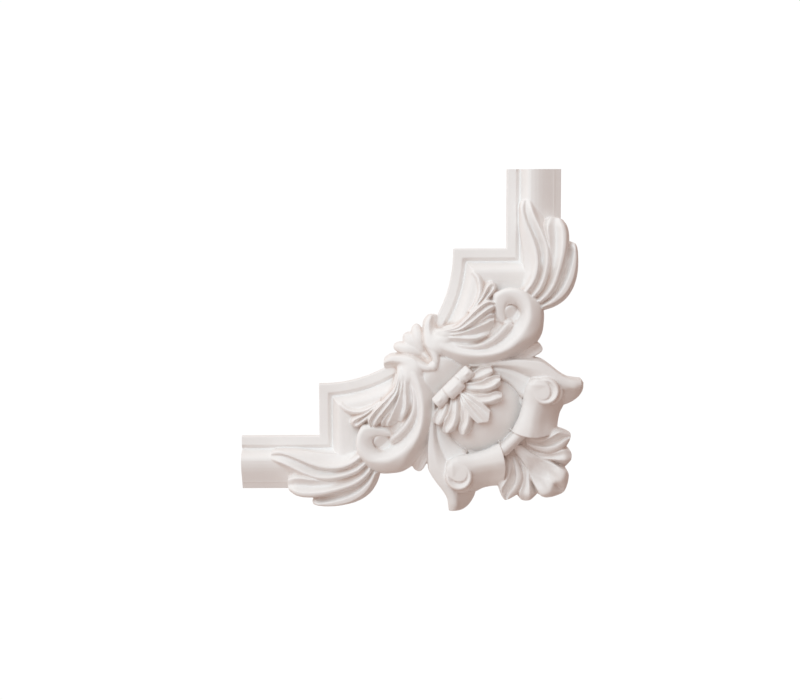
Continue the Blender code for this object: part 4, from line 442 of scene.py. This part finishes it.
def strap(heap):
    # the strap, rolled back at its head with a hollow in it, that runs into the tail of the volute
    heap.loft([
        [(427.5, 314.2, 5), (424, 319.5, 6), (423.2, 328, 8), (423.2, 338, 11), (424.4, 344.3, 13), (429, 351, 14), (436.5, 355.3, 14), (446, 359.8, 12)],
        [(429.5, 314.2, 13), (426.3, 320, 17), (425.2, 328, 19.5), (425.4, 338, 22.5), (427, 343.3, 24.5), (431.8, 348.7, 26), (438.5, 351.8, 25), (447, 355, 20)],
        [(432, 313.8, 14), (429.8, 319.3, 17.5), (429.5, 327.5, 20), (430, 336.5, 23.5), (431.5, 341.5, 25), (435.5, 346, 26.5), (441, 348.8, 26), (448, 351.5, 22)],
        [(434.2, 313.7, 12), (433.3, 318.5, 11.5), (433, 326.5, 14.5), (434, 334, 22), (436, 338.5, 25), (439.5, 342.5, 26.3), (444, 344.7, 26.3), (450, 347, 23)],
        [(436.6, 313.9, 10), (436.7, 318, 9), (436.6, 325.5, 10.5), (438.3, 331, 19), (441, 334.5, 24), (444.5, 337, 26), (448.5, 339, 26), (454, 341, 23)],
        [(438.4, 314.6, 6), (437.8, 319, 7), (437.8, 325, 7), (441, 327, 12), (446, 328, 16), (450, 328.5, 18), (454, 329, 18), (458, 330, 17)],
    ])
    # its inner rim, which meets its twin in a bulb on the diagonal
    heap.loft([
        [(423.6, 343.5, 12), (427.3, 350, 13), (430.7, 356, 14), (432.2, 360.5, 16)],
        [(425.6, 342, 22), (429.4, 348.5, 24.5), (433.2, 354.8, 26.3), (435, 361, 27), (434.5, 365, 26)],
        [(427.6, 341, 23), (432, 347.5, 25.6), (436.2, 354, 26.7), (438, 361, 26.5), (436.8, 366.3, 24.5)],
        [(430, 341, 21), (435, 347.5, 24), (439.4, 354, 24), (440.2, 361.5, 22), (438.2, 368.5, 19)],
    ])
    heap.ball((433.8, 364.8, 22), (5, 5, 6))
    # the small drop between the rims, and the low shell above it
    heap.lobe([(410, 338.5, 7), (417.5, 346, 10.5), (424, 352.5, 13), (430.8, 359.3, 16)], [3, 3.2, 3, 2.4], [3, 3.2, 3, 2.4], [2, 3, 4, 4], DOME, tip=1, both=False)
    heap.lobe([(435, 363, 13), (421, 348.5, 11.5), (408, 335.5, 7)], [13, 17, 15], [13, 17, 15], [4, 4, 3], DOME, tip=0.7, nose=2, both=False)
    heap.lobe([(428, 356.5, 10), (420, 348.5, 13.5), (412, 340.5, 14.5), (405.3, 333, 12)], [3, 5.5, 7.6, 7.8], [3, 5.5, 7.6, 7.8], [3, 4, 6, 7], DOME, tip=0.6, nose=2.5, blunt=2.2, both=False)
    heap.lobe([(427, 355, 10), (420.8, 346, 15), (417.6, 337, 16), (416.5, 329, 13), (417.5, 323, 8.5)], [2, 4.5, 4.8, 4.6, 4], [2, 5, 6.5, 6.5, 6], [3, 5, 7, 7, 5], DOME, tip=0.75, nose=2.5, blunt=2.4)


def ribbon(heap):
    # the plain tongue on the diagonal, that falls away from the bulb to the collar
    heap.lobe([(431.5, 363.5, 22.5), (436, 368, 23), (446, 378, 17.5), (460, 392, 10)], [11, 15, 20, 24], [11, 15, 20, 24], [1, 1, 1, 1], FLAT, tip=1, both=False)


def reel(heap, start, end, section, ease=(0, 0), both=False):
    """A turned bar between two points: section is (offset to the lower right, height), ease rounds its ends."""
    start, end = np.asarray(start, float), np.asarray(end, float)
    along = (end - start) / math.dist(start, end)
    across = np.array([-along[1], along[0]])
    stops = [(start, ease[0]), (start + along * 0.8, ease[0] * 0.45), (start + along * 2.2, 0)]
    stops += [(end - along * 2.2, 0), (end - along * 0.8, ease[1] * 0.45), (end, ease[1])]
    heap.loft([[(*(at + across * off * (1 - 0.05 * drop)), h - drop) for at, drop in stops] for off, h in section], both=both)


KNOB = [(-0.6, 34.6), (0.6, 34.6), (2, 33.7), (4, 29.8), (5.9, 24), (7, 17)]
BARREL = [(-0.6, 38), (0.6, 38), (2.4, 36.7), (4.8, 32), (7, 25), (8.2, 17)]
ROD = [(-6.3, 22), (-5.7, 28.4), (-3.4, 33), (0, 34.4), (3.4, 33), (5.7, 28.4), (6.3, 22)]


def collar(heap):
    # a bar across the diagonal with a knob at each end, and a barrel in front of its middle
    heap.bar((438.6, 399.4, 28), (466.8, 371.2, 28), 6)
    for at, to, section, height, radius, ease in (
        ((436, 403), (445, 394), KNOB, 28.4, 6.5, (4, 0.5)),
        ((461.6, 377.4), (470.6, 368.4), KNOB, 28.4, 6.5, (0.5, 4)),
        ((447.4, 393.4), (461, 379.8), BARREL, 30.3, 7.9, (0.6, 0.6)),
    ):
        heap.bar((*at, height), (*to, height), radius)
        reel(heap, at, to, section, ease)


def shell(heap):
    # gouged lobes that fan out below the collar over a low mound, from the scroll to the diagonal
    heap.ball((475, 403, 20.5), (23, 23, 11.5))
    heap.loft([
        [(464, 376, 14), (474, 369.6, 17), (480, 365.8, 18), (486, 364.4, 18), (491.3, 365.2, 18)],
        [(464.5, 377, 24), (475, 370.6, 29.5), (480.5, 367, 31.6), (486.5, 365.5, 32), (491.8, 366.2, 30.3)],
        [(465, 377.6, 23.5), (476, 373, 27), (482, 370, 28.5), (487.5, 368.3, 29.3), (492.6, 368, 29.3)],
        [(465.5, 378.8, 24), (476.8, 376.5, 31), (483, 374.2, 33), (489, 371.6, 33.3), (493.2, 370, 31.2)],
        [(466, 380, 22.5), (477, 379, 28.5), (484.3, 377.2, 30), (489.8, 374.6, 30), (493.4, 371.8, 28.5)],
        [(466, 381, 22), (477, 380.8, 25), (484.8, 379, 25), (490.6, 376.2, 22), (494.4, 372.6, 17)],
    ])
    heap.loft([
        [(462, 380.8, 22), (473, 380.8, 26), (482, 379, 26), (489, 375.3, 23), (495, 373.2, 17.5), (501.2, 374, 18)],
        [(462, 381.9, 24), (473.5, 382.1, 33), (482, 380.3, 35.4), (489.5, 376.8, 36.6), (495.5, 374.7, 36.8), (500.8, 375.4, 34.5)],
        [(462, 384.3, 23.5), (475, 384.6, 31), (484, 383.4, 31.8), (491, 380.6, 32.6), (496.2, 378.2, 33.4), (501, 377.8, 33.5)],
        [(462, 386.7, 24), (474.5, 387.5, 34.5), (483.5, 387.3, 37), (491, 385.4, 38.3), (496.8, 382, 38), (500.8, 379.6, 35)],
        [(462, 389, 23), (474.3, 390.3, 31.5), (483.5, 390.6, 33.5), (491.6, 389, 34.5), (498.2, 384.8, 34.5), (501, 381.2, 32)],
        [(462, 390.3, 22), (474, 392, 28), (483.5, 392.6, 29), (492.2, 391, 28), (499.4, 386.6, 22), (501.8, 382.4, 18)],
    ])
    heap.loft([
        [(458, 388, 22), (471, 391.6, 28), (480.5, 392.6, 29), (489, 391.8, 28), (496.8, 389.4, 23), (502.8, 391, 18)],
        [(458, 388.8, 24), (471.5, 392.8, 35.5), (480, 394, 38), (489, 393.2, 39), (496.8, 390.8, 38.8), (502.6, 392.5, 36)],
        [(458, 390, 24), (471.5, 395, 34.3), (480.5, 397, 35.3), (489, 396.3, 35.8), (496.8, 394.2, 36.2), (503, 394.6, 35.6)],
        [(458, 391.3, 25), (471.5, 397.3, 37.8), (480.5, 400, 40), (488.8, 400, 41), (496.3, 397.8, 40.5), (502.6, 396.4, 37)],
        [(458, 392.5, 24), (471.5, 399.8, 35), (481, 403, 37), (489.3, 403.3, 37.5), (497.2, 401, 37), (502.6, 397.8, 34.5)],
        [(458, 393.5, 16), (471, 401.5, 17), (480.7, 405, 17), (489.3, 405.8, 17), (498, 403.3, 17), (503.3, 398.8, 18)],
    ])
    heap.loft([
        [(457, 388, 16), (470, 393.6, 17), (479, 397.8, 17), (486.8, 402.6, 17), (492.4, 409.2, 17)],
        [(456.5, 389, 26), (469.3, 395.2, 38), (477.5, 399.7, 40.4), (485.2, 404.8, 41), (491.4, 410.8, 40.5)],
        [(456, 390.5, 26), (467.7, 397, 35.8), (474.9, 402.4, 37.2), (482.2, 408.2, 37.8), (490.2, 414.8, 38)],
        [(455, 391.5, 27), (465.5, 399, 39.3), (472.3, 406, 40.8), (479.8, 413.3, 41.2), (488.8, 420.8, 40.4)],
    ], fold=True)


def boss(heap):
    # the smooth dome, the ground round it, and the ledge above its shoulder
    heap.plate((485, 413, 5), 47, 5)
    heap.ball((522, 399, 3), (6, 8, 8.5), both=True)
    heap.ball((482.5, 410.5, -9), (46, 39.5, 39), turn=-45)
    heap.loft([
        [(462, 364, 14), (484, 364, 15), (500, 364, 16.5), (513.5, 366, 19), (524, 371, 19.6), (532, 376.5, 19.8), (538, 382, 19.8)],
        [(466, 371, 15), (484, 369.4, 17), (498, 369.6, 18.4), (509.8, 371.9, 19), (519.6, 376.5, 19.4), (527.8, 381.8, 19.6), (534, 388, 19.6)],
        [(468, 374.5, 14), (484, 372.8, 16), (496.5, 372.7, 17), (506.5, 375, 17.5), (514.6, 379.6, 17.7), (521.5, 385.6, 17.7), (528, 393.4, 17.7)],
        [(469, 377.8, 13), (484, 376.6, 14.6), (494.8, 376.2, 15.4), (503.3, 378.4, 15.8), (510, 382.4, 15.8), (516.3, 388.6, 15.7), (523, 397.2, 15.4)],
        [(469, 379.5, 5), (484, 378, 5), (494, 377.8, 5), (502, 380, 5), (508.3, 384, 5), (514.3, 390, 5), (521, 399, 5)],
    ])


def cartouche(heap):
    # the band that comes out from under the scroll and ends in a curled ear
    heap.loft([
        [(470, 362, 15), (486, 360.5, 15), (500, 359, 16), (514, 357.6, 16), (528, 357.6, 16), (540, 358.2, 14), (552, 365.6, 13), (560, 372, 13), (567, 376.2, 13), (574, 377.6, 12), (581.8, 378.3, 11)],
        [(470, 363.3, 20), (486, 362, 22), (500, 360.6, 24.3), (514, 359.3, 26.6), (528, 359.7, 28.3), (540.5, 361, 28.3), (552, 367.6, 27.5), (560.5, 373.8, 26.3), (568, 377.8, 25), (575, 379.2, 23.5), (582, 379.6, 20)],
        [(470, 364.6, 19.8), (486, 364, 21.8), (500, 363.4, 24.1), (514, 363.9, 26.4), (528, 366, 28.4), (540, 369, 28.9), (551, 372.8, 28.3), (560, 378.6, 27.6), (568, 382.6, 27), (575.8, 384, 26), (582, 383.6, 23)],
        [(470, 366, 18), (486, 365.6, 18.8), (500, 366, 20), (513, 368, 21.8), (525.5, 372, 23.6), (537, 376.4, 24.6), (547.5, 380.5, 24.8), (558, 384.6, 25.4), (568, 387.2, 25.5), (576, 387.8, 24.5), (581.3, 386.4, 22)],
        [(470, 367.6, 11), (486, 366.8, 11.5), (500, 367.3, 12), (512, 370.4, 13), (522.5, 375.2, 14.5), (532, 380, 15), (542, 386, 15), (555, 388.8, 17), (567, 390, 18), (575.5, 390.2, 17.5), (580.8, 388.6, 16)],
    ])
    # the under side of the ear, falling away steeply to the outline
    heap.loft([
        [(548, 385, 22), (561, 387.4, 24.4), (569.5, 388.3, 24.2), (576.8, 387.8, 22.8), (581.2, 385, 20.5), (582.3, 380, 17)],
        [(550, 389, 18), (562, 391, 18), (570.5, 391.6, 17), (578, 389.8, 15.5), (582, 386, 14), (583, 381, 12)],
        [(552, 395, 12), (563, 397, 11), (571.5, 396.3, 9.5), (579.3, 392, 8.5), (582.8, 387, 8), (583.4, 381.5, 8)],
        [(556, 405, 2), (565, 404.2, 2), (572.5, 401, 1.5), (579.8, 395, 1.5), (583, 389.5, 1.5), (583.8, 382, 2)],
    ])


def roll(heap):
    # the ribbon rolled up beside the boss, narrow under its lip and flared at its mouth
    heap.loft([
        [(532, 378.6, 16), (529.3, 382.4, 15), (527, 387.4, 14), (525.2, 394, 13), (524.5, 402, 12), (522.5, 410, 12), (520, 418, 12), (516.6, 425, 13), (513.4, 432, 14)],
        [(530.8, 378.2, 22), (528, 382, 26.5), (525.6, 387, 27), (523.8, 393.6, 26), (523.1, 401.5, 25.4), (521.1, 409.6, 25.6), (518.6, 417.6, 26.6), (515.2, 424.6, 28), (512, 431.2, 29.5)],
        [(535, 376.6, 24), (532.9, 381.6, 33.3), (531, 387.5, 34.3), (529.3, 394.5, 33), (528.3, 402.5, 32), (526.6, 410.5, 32.6), (524.5, 418.5, 34.3), (522, 426.3, 36.3), (519.3, 434.8, 38)],
        [(539.5, 375.6, 24), (538.2, 381, 33.8), (537, 388.5, 35), (535.3, 396.5, 34), (534.3, 404.5, 33), (532.6, 412.5, 33.8), (531, 420.5, 35.5), (529.3, 428.5, 37.6), (527.6, 437.2, 39)],
        [(545.5, 376, 22), (545.6, 381.5, 32.6), (545, 390, 33.8), (543.4, 399.5, 31.4), (541.3, 407.6, 30), (539.5, 415.5, 30.8), (538, 423, 32.5), (537, 430.6, 34.6), (536.2, 438, 35.3)],
        [(552.5, 378.6, 16), (553, 384, 25), (552.5, 392.5, 26.5), (550.8, 401, 24), (548, 409.6, 22.8), (546, 417, 23.4), (544.8, 424, 25), (544.3, 430.3, 27.4), (544, 436.9, 29.4)],
        [(558.3, 382.6, 10), (559.7, 388.5, 16), (559.6, 396, 16), (558.4, 404.2, 13.5), (555.4, 411.3, 12.6), (553.4, 418, 13.2), (552.4, 424.3, 15.2), (552, 429.6, 17.7), (552.3, 434.4, 19.7)],
        [(561, 387, 8), (563.6, 392, 6), (564.6, 397.5, 5), (563.8, 404.8, 3), (560.6, 411.5, 2), (558.9, 418.5, 2), (558.1, 425, 3), (558, 429, 5), (558.4, 431, 7)],
    ])
    # its spiral end: a flat eye with a furrow round its far side, a rounded lip and one more turn behind
    heap.disc((546, 391, 34.8), (13.9, 13.5), [(0, -2.6), (0.5, -2.6), (0.66, -1.3), (0.79, 0), (0.89, -0.6), (0.95, -2), (1, -5)], tilt=(0.02, 0.03))
    heap.disc((541.3, 389.4, 34.9), (11.7, 9.4), [(0, 0), (0.75, 0), (0.9, -0.5), (1, -3.6)], turn=55, tilt=(0.02, 0.02))
    heap.disc((549.3, 391.3, 26), (15.6, 12.8), [(0, 0), (0.8, 0), (0.92, -1), (1, -4)], turn=30, tilt=(-0.1, -0.05))


def rod(heap):
    # the bar that both rolls hang on
    reel(heap, (502, 452.5), (523, 431.5), ROD)


def palm(heap):
    # the ground of the palm leaf at the outer corner
    heap.lobe([(505, 443, 12), (524, 454, 13), (545, 474, 8)], [16, 26, 19], [16, 26, 19], 3, DOME, tip=0.8, nose=2, both=False)
    heap.plate((542, 470, 5), 23.5, 5)
    # the outer lobe, gouged under its rim
    heap.loft([
        [(524, 434, 12), (538, 435, 16), (548, 432.5, 16), (557, 428.3, 13), (562.5, 429.3, 10), (568.4, 431.6, 9), (572.2, 434.3, 9)],
        [(525, 437, 14), (538, 440.8, 19.6), (547.4, 439, 21.8), (554.4, 435.2, 23), (560.3, 432.2, 22.4), (566.2, 433.8, 20), (571.5, 435.6, 17)],
        [(526, 440, 14), (538.8, 442.6, 17), (548, 441.6, 16.5), (555.6, 438.4, 17), (561, 435.6, 17.5), (566.6, 435.8, 17.3), (571.5, 436.5, 16)],
        [(526.5, 442, 14), (539, 444.6, 16), (547.5, 445, 15), (555.2, 442.8, 14), (561.7, 439.4, 13.5), (567, 437.4, 14), (571.4, 437.1, 15)],
        [(527, 443.5, 15), (539, 446.6, 20), (547.5, 447.6, 22), (555.2, 446.3, 22.5), (561.3, 443.2, 22), (566.5, 439.7, 19.5), (571.2, 437.8, 16)],
        [(527.5, 445, 14), (539.3, 449.9, 18.6), (548, 452, 20.6), (556, 450.8, 20.4), (562.4, 448, 19.4), (567.5, 443.2, 17.7), (571, 438.9, 15)],
        [(528, 447, 10), (539.5, 452.3, 8), (548, 454.6, 5), (556.3, 453.8, 5), (562.6, 451, 5), (567, 446.5, 5), (570.6, 440.5, 6)],
    ])
    # the next lobe
    heap.loft([
        [(526, 446, 10), (540, 451.6, 8), (550, 452, 7), (558, 450.2, 7), (564, 447.8, 7), (567.5, 447, 7)],
        [(526, 447.5, 13), (541, 453.6, 15), (550, 454.5, 16), (558, 452.6, 18.5), (564.5, 450, 19), (570.8, 450.8, 14)],
        [(526, 449, 13), (542, 456, 14), (551, 456.9, 15), (559, 456.2, 16.5), (566, 455, 17.5), (572.6, 455, 13)],
        [(526, 450.5, 13), (543, 458.6, 14.5), (552, 459.2, 17), (560, 460, 19.5), (567, 460.2, 18.5), (572.3, 459.6, 13)],
        [(526, 451.5, 12), (544, 461, 12), (552.5, 462, 7.5), (559, 465, 6), (564.5, 467.4, 6), (567.8, 465.6, 6)],
    ])
    # the middle, which ends in two bulbs with a notch on the diagonal between them
    heap.loft([
        [(524, 444, 4), (537, 454, 10), (546, 459.6, 12.5), (553, 462.6, 14), (560, 466.4, 13.5), (566, 467.6, 8)],
        [(522, 445, 16), (535.5, 455.5, 16.6), (545, 461.2, 14.5), (553.5, 465.3, 17.5), (561.5, 469.2, 20.5), (567, 471.8, 18), (569.6, 474, 8)],
        [(520, 445.5, 19), (533.5, 457, 17.6), (543, 463, 12.6), (551.5, 468.7, 15.4), (560, 474.8, 22), (566, 477.8, 21), (569.7, 480, 8)],
        [(518, 445.5, 20), (531, 457.3, 18.2), (541, 465.8, 12), (551, 474.8, 11.6), (560.4, 481.8, 20.6), (564.4, 485.3, 14.5), (567.5, 488.5, 3)],
        [(517, 445, 20), (528, 456, 18.4), (539, 467, 11.6), (547.5, 475.5, 10.4), (555.8, 483.8, 13.6), (558.4, 486.4, 9), (565, 493, 2.5)],
    ], fold=True)


def small_leaf(heap):
    heap.lobe([(515, 358, 14), (526, 354, 14), (535, 350, 12.5), (542, 345.5, 8.5)], [4, 5.5, 7, 6], [4, 5, 5.5, 5], [4, 5, 6, 6], SPOON, cut=[1, 2, 2, 1.5], tip=0.84, nose=1, blunt=2.6)


def ornament(fine):
    heap = Heap(fine)
    moulding(heap)
    for build in (fan_leaf, scroll, acanthus, strap, ribbon, collar, shell, boss, cartouche, roll, rod, palm, small_leaf):
        build(heap)
    verts = np.concatenate(heap.verts)
    out = np.empty_like(verts)
    out[:, 0] = (verts[:, 0] - BOSS[0]) * UNIT
    out[:, 1] = -verts[:, 2] * UNIT
    out[:, 2] = (BOSS[1] - verts[:, 1]) * UNIT
    return out, heap.faces


def mesh_object(name, verts, faces, home=None):
    mesh = bpy.data.meshes.new(name)
    mesh.from_pydata([tuple(v) for v in verts], [], faces)
    mesh.update()
    obj = bpy.data.objects.new(name, mesh)
    (home or bpy.context.scene.collection).objects.link(obj)
    return obj


# ---- the casting ----
STUB_END = 242.5  # sheet place of the cut ends
GRAIN = 0.00055  # size of the grid on which the raw pieces are cast into one body
TRIANGLES = 190000


def evaluated(obj):
    """A new mesh of obj with its modifiers applied."""
    return bpy.data.meshes.new_from_object(obj.evaluated_get(bpy.context.evaluated_depsgraph_get()))


def casting():
    verts, faces = ornament(1.0)
    raw = mesh_object("raw_pieces", verts, faces)
    cast = raw.modifiers.new("cast in one", "REMESH")
    cast.mode = "VOXEL"
    cast.voxel_size = GRAIN
    soften = raw.modifiers.new("soften", "SMOOTH")
    soften.factor = 0.5
    soften.iterations = 3
    body = bpy.data.objects.new("casting", evaluated(raw))
    bpy.context.scene.collection.objects.link(body)
    bpy.data.objects.remove(raw)

    thin_out = body.modifiers.new("thin out", "DECIMATE")
    thin_out.ratio = TRIANGLES / sum(len(p.vertices) - 2 for p in body.data.polygons)
    reach = (BOSS[0] - STUB_END) * UNIT
    size = 0.6
    bpy.ops.mesh.primitive_cube_add(size=size, location=(-reach + size / 2, -size / 2, reach - size / 2))
    block = bpy.context.object
    trim = body.modifiers.new("trim", "BOOLEAN")
    trim.operation = "INTERSECT"
    trim.solver = "MANIFOLD"
    trim.object = block
    mesh = evaluated(body)
    bpy.data.objects.remove(body)
    bpy.data.objects.remove(block)
    mesh.name = "moulding_visual"
    done = bpy.data.objects.new("moulding_visual", mesh)
    bpy.context.scene.collection.objects.link(done)
    for face in mesh.polygons:  # the back is one flat face, the carving is rounded
        face.use_smooth = face.center.y < -0.00001
    mesh.set_sharp_from_angle(angle=math.radians(62))
    # paints shade into the recesses: each point gets a share of the darker primer tone by how deep it lies
    paint_recess_shade(mesh)
    return done


def blurred(field, cells, rounds=3):
    """A grid averaged over a square window, a few rounds of it for a round blur."""
    for _ in range(rounds):
        for axis in (0, 1):
            wide = np.pad(field, [(cells + 1, cells) if a == axis else (0, 0) for a in (0, 1)], mode="edge")
            total = np.cumsum(wide, axis=axis)
            far = np.take(total, np.arange(2 * cells + 1, total.shape[axis]), axis=axis)
            near = np.take(total, np.arange(0, total.shape[axis] - 2 * cells - 1), axis=axis)
            field = (far - near) / (2 * cells + 1)
    return field


def paint_recess_shade(mesh):
    """Writes on each point how deep it lies below the relief round it, as a share of painted shade that darkens the
    recesses of the carving.
    """
    co = np.empty(len(mesh.vertices) * 3)
    mesh.vertices.foreach_get("co", co)
    co = co.reshape(-1, 3)
    cell, margin = 0.0006, 30
    low = co[:, (0, 2)].min(axis=0)
    place = np.floor((co[:, (0, 2)] - low) / cell).astype(int) + margin
    front = np.zeros(tuple(place.max(axis=0) + margin + 1))
    np.maximum.at(front, (place[:, 0], place[:, 1]), -co[:, 1] / 0.04)
    for _ in range(2):  # closes the pin holes between the points
        near = np.pad(front, 1)
        around = np.stack([near[1 + i : near.shape[0] - 1 + i, 1 + j : near.shape[1] - 1 + j] for i in (-1, 0, 1) for j in (-1, 0, 1)])
        front = np.where(front > 0, front, np.where((around > 0).sum(axis=0) > 4, around.max(axis=0), 0))
    solid = (front > 0).astype(float)
    share = 0
    for cells, depth, weight in ((3, 0.09, 0.55), (8, 0.26, 0.6)):
        cover = blurred(solid, cells)
        level = blurred(front, cells) / np.maximum(cover, 1e-6)
        sunk = (level[place[:, 0], place[:, 1]] + co[:, 1] / 0.04) / depth
        open_side = np.clip((cover[place[:, 0], place[:, 1]] - 0.62) / 0.3, 0, 1)
        share = share + weight * np.clip(sunk, 0, 1) * open_side
    shade = mesh.attributes.new("sunk", "FLOAT", "POINT")
    shade.data.foreach_set("value", np.clip(share, 0, 1).astype(np.float32))


# ---- the primer ----
PAINTED_SHADE_COLOUR = (0.72, 0.618, 0.566, 1)  # painted shade: the warmer, darker tone the primer is given at the bottom of the carving, where shade falls


def primer():
    """White primer on cast polyurethane: a faint mottle, fine pores, a slightly uneven sheen, and painted shade that
    darkens it at the bottom of the carving.
    """
    mat = bpy.data.materials.new("primer")
    mat.use_nodes = True
    nodes, links = mat.node_tree.nodes, mat.node_tree.links
    shader = nodes["Principled BSDF"]
    shader.inputs["Metallic"].default_value = 0
    shader.inputs["Specular IOR Level"].default_value = 0.3
    place = nodes.new("ShaderNodeTexCoord")

    def noise(scale, detail, rough):
        n = nodes.new("ShaderNodeTexNoise")
        n.inputs["Scale"].default_value = scale
        n.inputs["Detail"].default_value = detail
        n.inputs["Roughness"].default_value = rough
        links.new(place.outputs["Object"], n.inputs["Vector"])
        return n.outputs["Fac"]

    def ramp(value, low, high, to_low, to_high):
        r = nodes.new("ShaderNodeMapRange")
        r.inputs["From Min"].default_value = low
        r.inputs["From Max"].default_value = high
        r.inputs["To Min"].default_value = to_low
        r.inputs["To Max"].default_value = to_high
        links.new(value, r.inputs["Value"])
        return r.outputs["Result"]

    broad = noise(28, 3, 0.55)
    fine = noise(900, 4, 0.6)
    tint = nodes.new("ShaderNodeMix")
    tint.data_type = "RGBA"
    tint.inputs[6].default_value = (0.862, 0.832, 0.814, 1)
    tint.inputs[7].default_value = (0.892, 0.868, 0.854, 1)
    links.new(ramp(broad, 0.3, 0.7, 0, 1), tint.inputs[0])
    # painted shade: the primer colour is mixed towards a warm dark tone where the carving lies below the relief round
    # it, standing in for the shade that falls in recesses
    depth = nodes.new("ShaderNodeAttribute")
    depth.attribute_name = "sunk"
    painted_shade_mix = nodes.new("ShaderNodeMix")
    painted_shade_mix.data_type = "RGBA"
    painted_shade_mix.inputs[7].default_value = PAINTED_SHADE_COLOUR
    links.new(ramp(depth.outputs["Fac"], 0.04, 0.8, 0, 1), painted_shade_mix.inputs[0])
    links.new(tint.outputs[2], painted_shade_mix.inputs[6])
    links.new(painted_shade_mix.outputs[2], shader.inputs["Base Color"])
    links.new(ramp(fine, 0.3, 0.7, 0.5, 0.66), shader.inputs["Roughness"])
    pores = nodes.new("ShaderNodeBump")
    pores.inputs["Strength"].default_value = 0.25
    pores.inputs["Distance"].default_value = 0.00006
    links.new(fine, pores.inputs["Height"])
    waves = nodes.new("ShaderNodeBump")
    waves.inputs["Strength"].default_value = 0.3
    waves.inputs["Distance"].default_value = 0.0004
    links.new(noise(70, 2, 0.5), waves.inputs["Height"])
    links.new(pores.outputs["Normal"], waves.inputs["Normal"])
    links.new(waves.outputs["Normal"], shader.inputs["Normal"])
    return mat


# ---- the studio ----
AMBIENT = (0.575, 0.455, 0.405)
KEY_COLOUR = (0.70, 0.955, 1.07)
KEY_FROM = (-0.37, -0.76, 0.535)  # towards the key light: from the front, above and the left
KEY_WATTS = 12.9
ROOM_TILT = (0.31, 0.29, 0.275)  # how much lighter the room is towards the upper left, and darker to the lower right


def floor_material():
    mat = bpy.data.materials.new("floor")
    mat.use_nodes = True
    nodes, links = mat.node_tree.nodes, mat.node_tree.links
    shader = nodes["Principled BSDF"]
    place = nodes.new("ShaderNodeTexCoord")
    grain = nodes.new("ShaderNodeTexNoise")
    grain.inputs["Scale"].default_value = 6
    links.new(place.outputs["Object"], grain.inputs["Vector"])
    tint = nodes.new("ShaderNodeMix")
    tint.data_type = "RGBA"
    tint.inputs[6].default_value = (0.80, 0.80, 0.80, 1)
    tint.inputs[7].default_value = (0.84, 0.84, 0.84, 1)
    links.new(grain.outputs["Fac"], tint.inputs[0])
    links.new(tint.outputs[2], shader.inputs["Base Color"])
    shader.inputs["Roughness"].default_value = 0.9
    return mat


def studio():
    scene = bpy.context.scene
    scene.view_settings.view_transform = "Standard"
    scene.view_settings.look = "None"
    world = bpy.data.worlds.new("studio")
    scene.world = world
    world.use_nodes = True
    nodes, links = world.node_tree.nodes, world.node_tree.links
    sky = nodes["Background"]
    place = nodes.new("ShaderNodeTexCoord")
    split = nodes.new("ShaderNodeSeparateXYZ")
    links.new(place.outputs["Generated"], split.inputs["Vector"])
    lit = nodes.new("ShaderNodeMapRange")  # a bright sheet behind the wall side, soft grey all round
    lit.inputs["From Min"].default_value = 0.80
    lit.inputs["From Max"].default_value = 0.88
    links.new(split.outputs["Y"], lit.inputs["Value"])
    side = nodes.new("ShaderNodeVectorMath")  # the room is lighter above and to the left
    side.operation = "DOT_PRODUCT"
    side.inputs[1].default_value = (-0.707, 0, 0.707)
    links.new(place.outputs["Generated"], side.inputs[0])
    tilt = nodes.new("ShaderNodeVectorMath")
    tilt.operation = "SCALE"
    tilt.inputs[0].default_value = ROOM_TILT
    links.new(side.outputs["Value"], tilt.inputs["Scale"])
    room = nodes.new("ShaderNodeVectorMath")
    room.operation = "ADD"
    room.inputs[0].default_value = AMBIENT
    links.new(tilt.outputs["Vector"], room.inputs[1])
    blend = nodes.new("ShaderNodeMix")
    blend.data_type = "RGBA"
    links.new(room.outputs["Vector"], blend.inputs[6])
    blend.inputs[7].default_value = (1.02, 1.02, 1.02, 1)
    links.new(lit.outputs["Result"], blend.inputs[0])
    links.new(blend.outputs[2], sky.inputs["Color"])

    key = bpy.data.lights.new("key", "AREA")
    key.shape = "DISK"
    key.size = 1.1
    key.energy = KEY_WATTS
    key.color = KEY_COLOUR
    lamp = bpy.data.objects.new("key", key)
    towards = Vector(KEY_FROM).normalized()
    target = Vector((-0.02, 0, 0.03))
    lamp.location = target + towards * 1.6
    lamp.rotation_euler = towards.to_track_quat("Z", "Y").to_euler()
    scene.collection.objects.link(lamp)

    bpy.ops.mesh.primitive_circle_add(vertices=96, radius=1.2, fill_type="NGON", location=(0, 0, -1.6))
    floor = bpy.context.object
    floor.name = "floor"
    floor.data.materials.append(floor_material())

    eye = Vector(((SIGHT[0] - BOSS[0]) * UNIT, -SIGHT_FAR * UNIT, (BOSS[1] - SIGHT[1]) * UNIT))
    look = Vector((-0.07954, 0, 0.06073))
    lens = bpy.data.cameras.new("camera")
    lens.sensor_width = 36
    lens.lens = 66.24
    lens.clip_end = 20
    camera = bpy.data.objects.new("camera", lens)
    camera.location = eye
    level = Quaternion((0, 0, 1), -0.0039)
    camera.rotation_euler = ((look - eye).to_track_quat("-Z", "Y") @ level).to_euler()
    scene.collection.objects.link(camera)
    scene.camera = camera


def main():
    body = casting()
    body.data.materials.clear()
    body.data.materials.append(primer())
    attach(body, "root")
    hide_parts("corner_moulding")
    studio()


main()
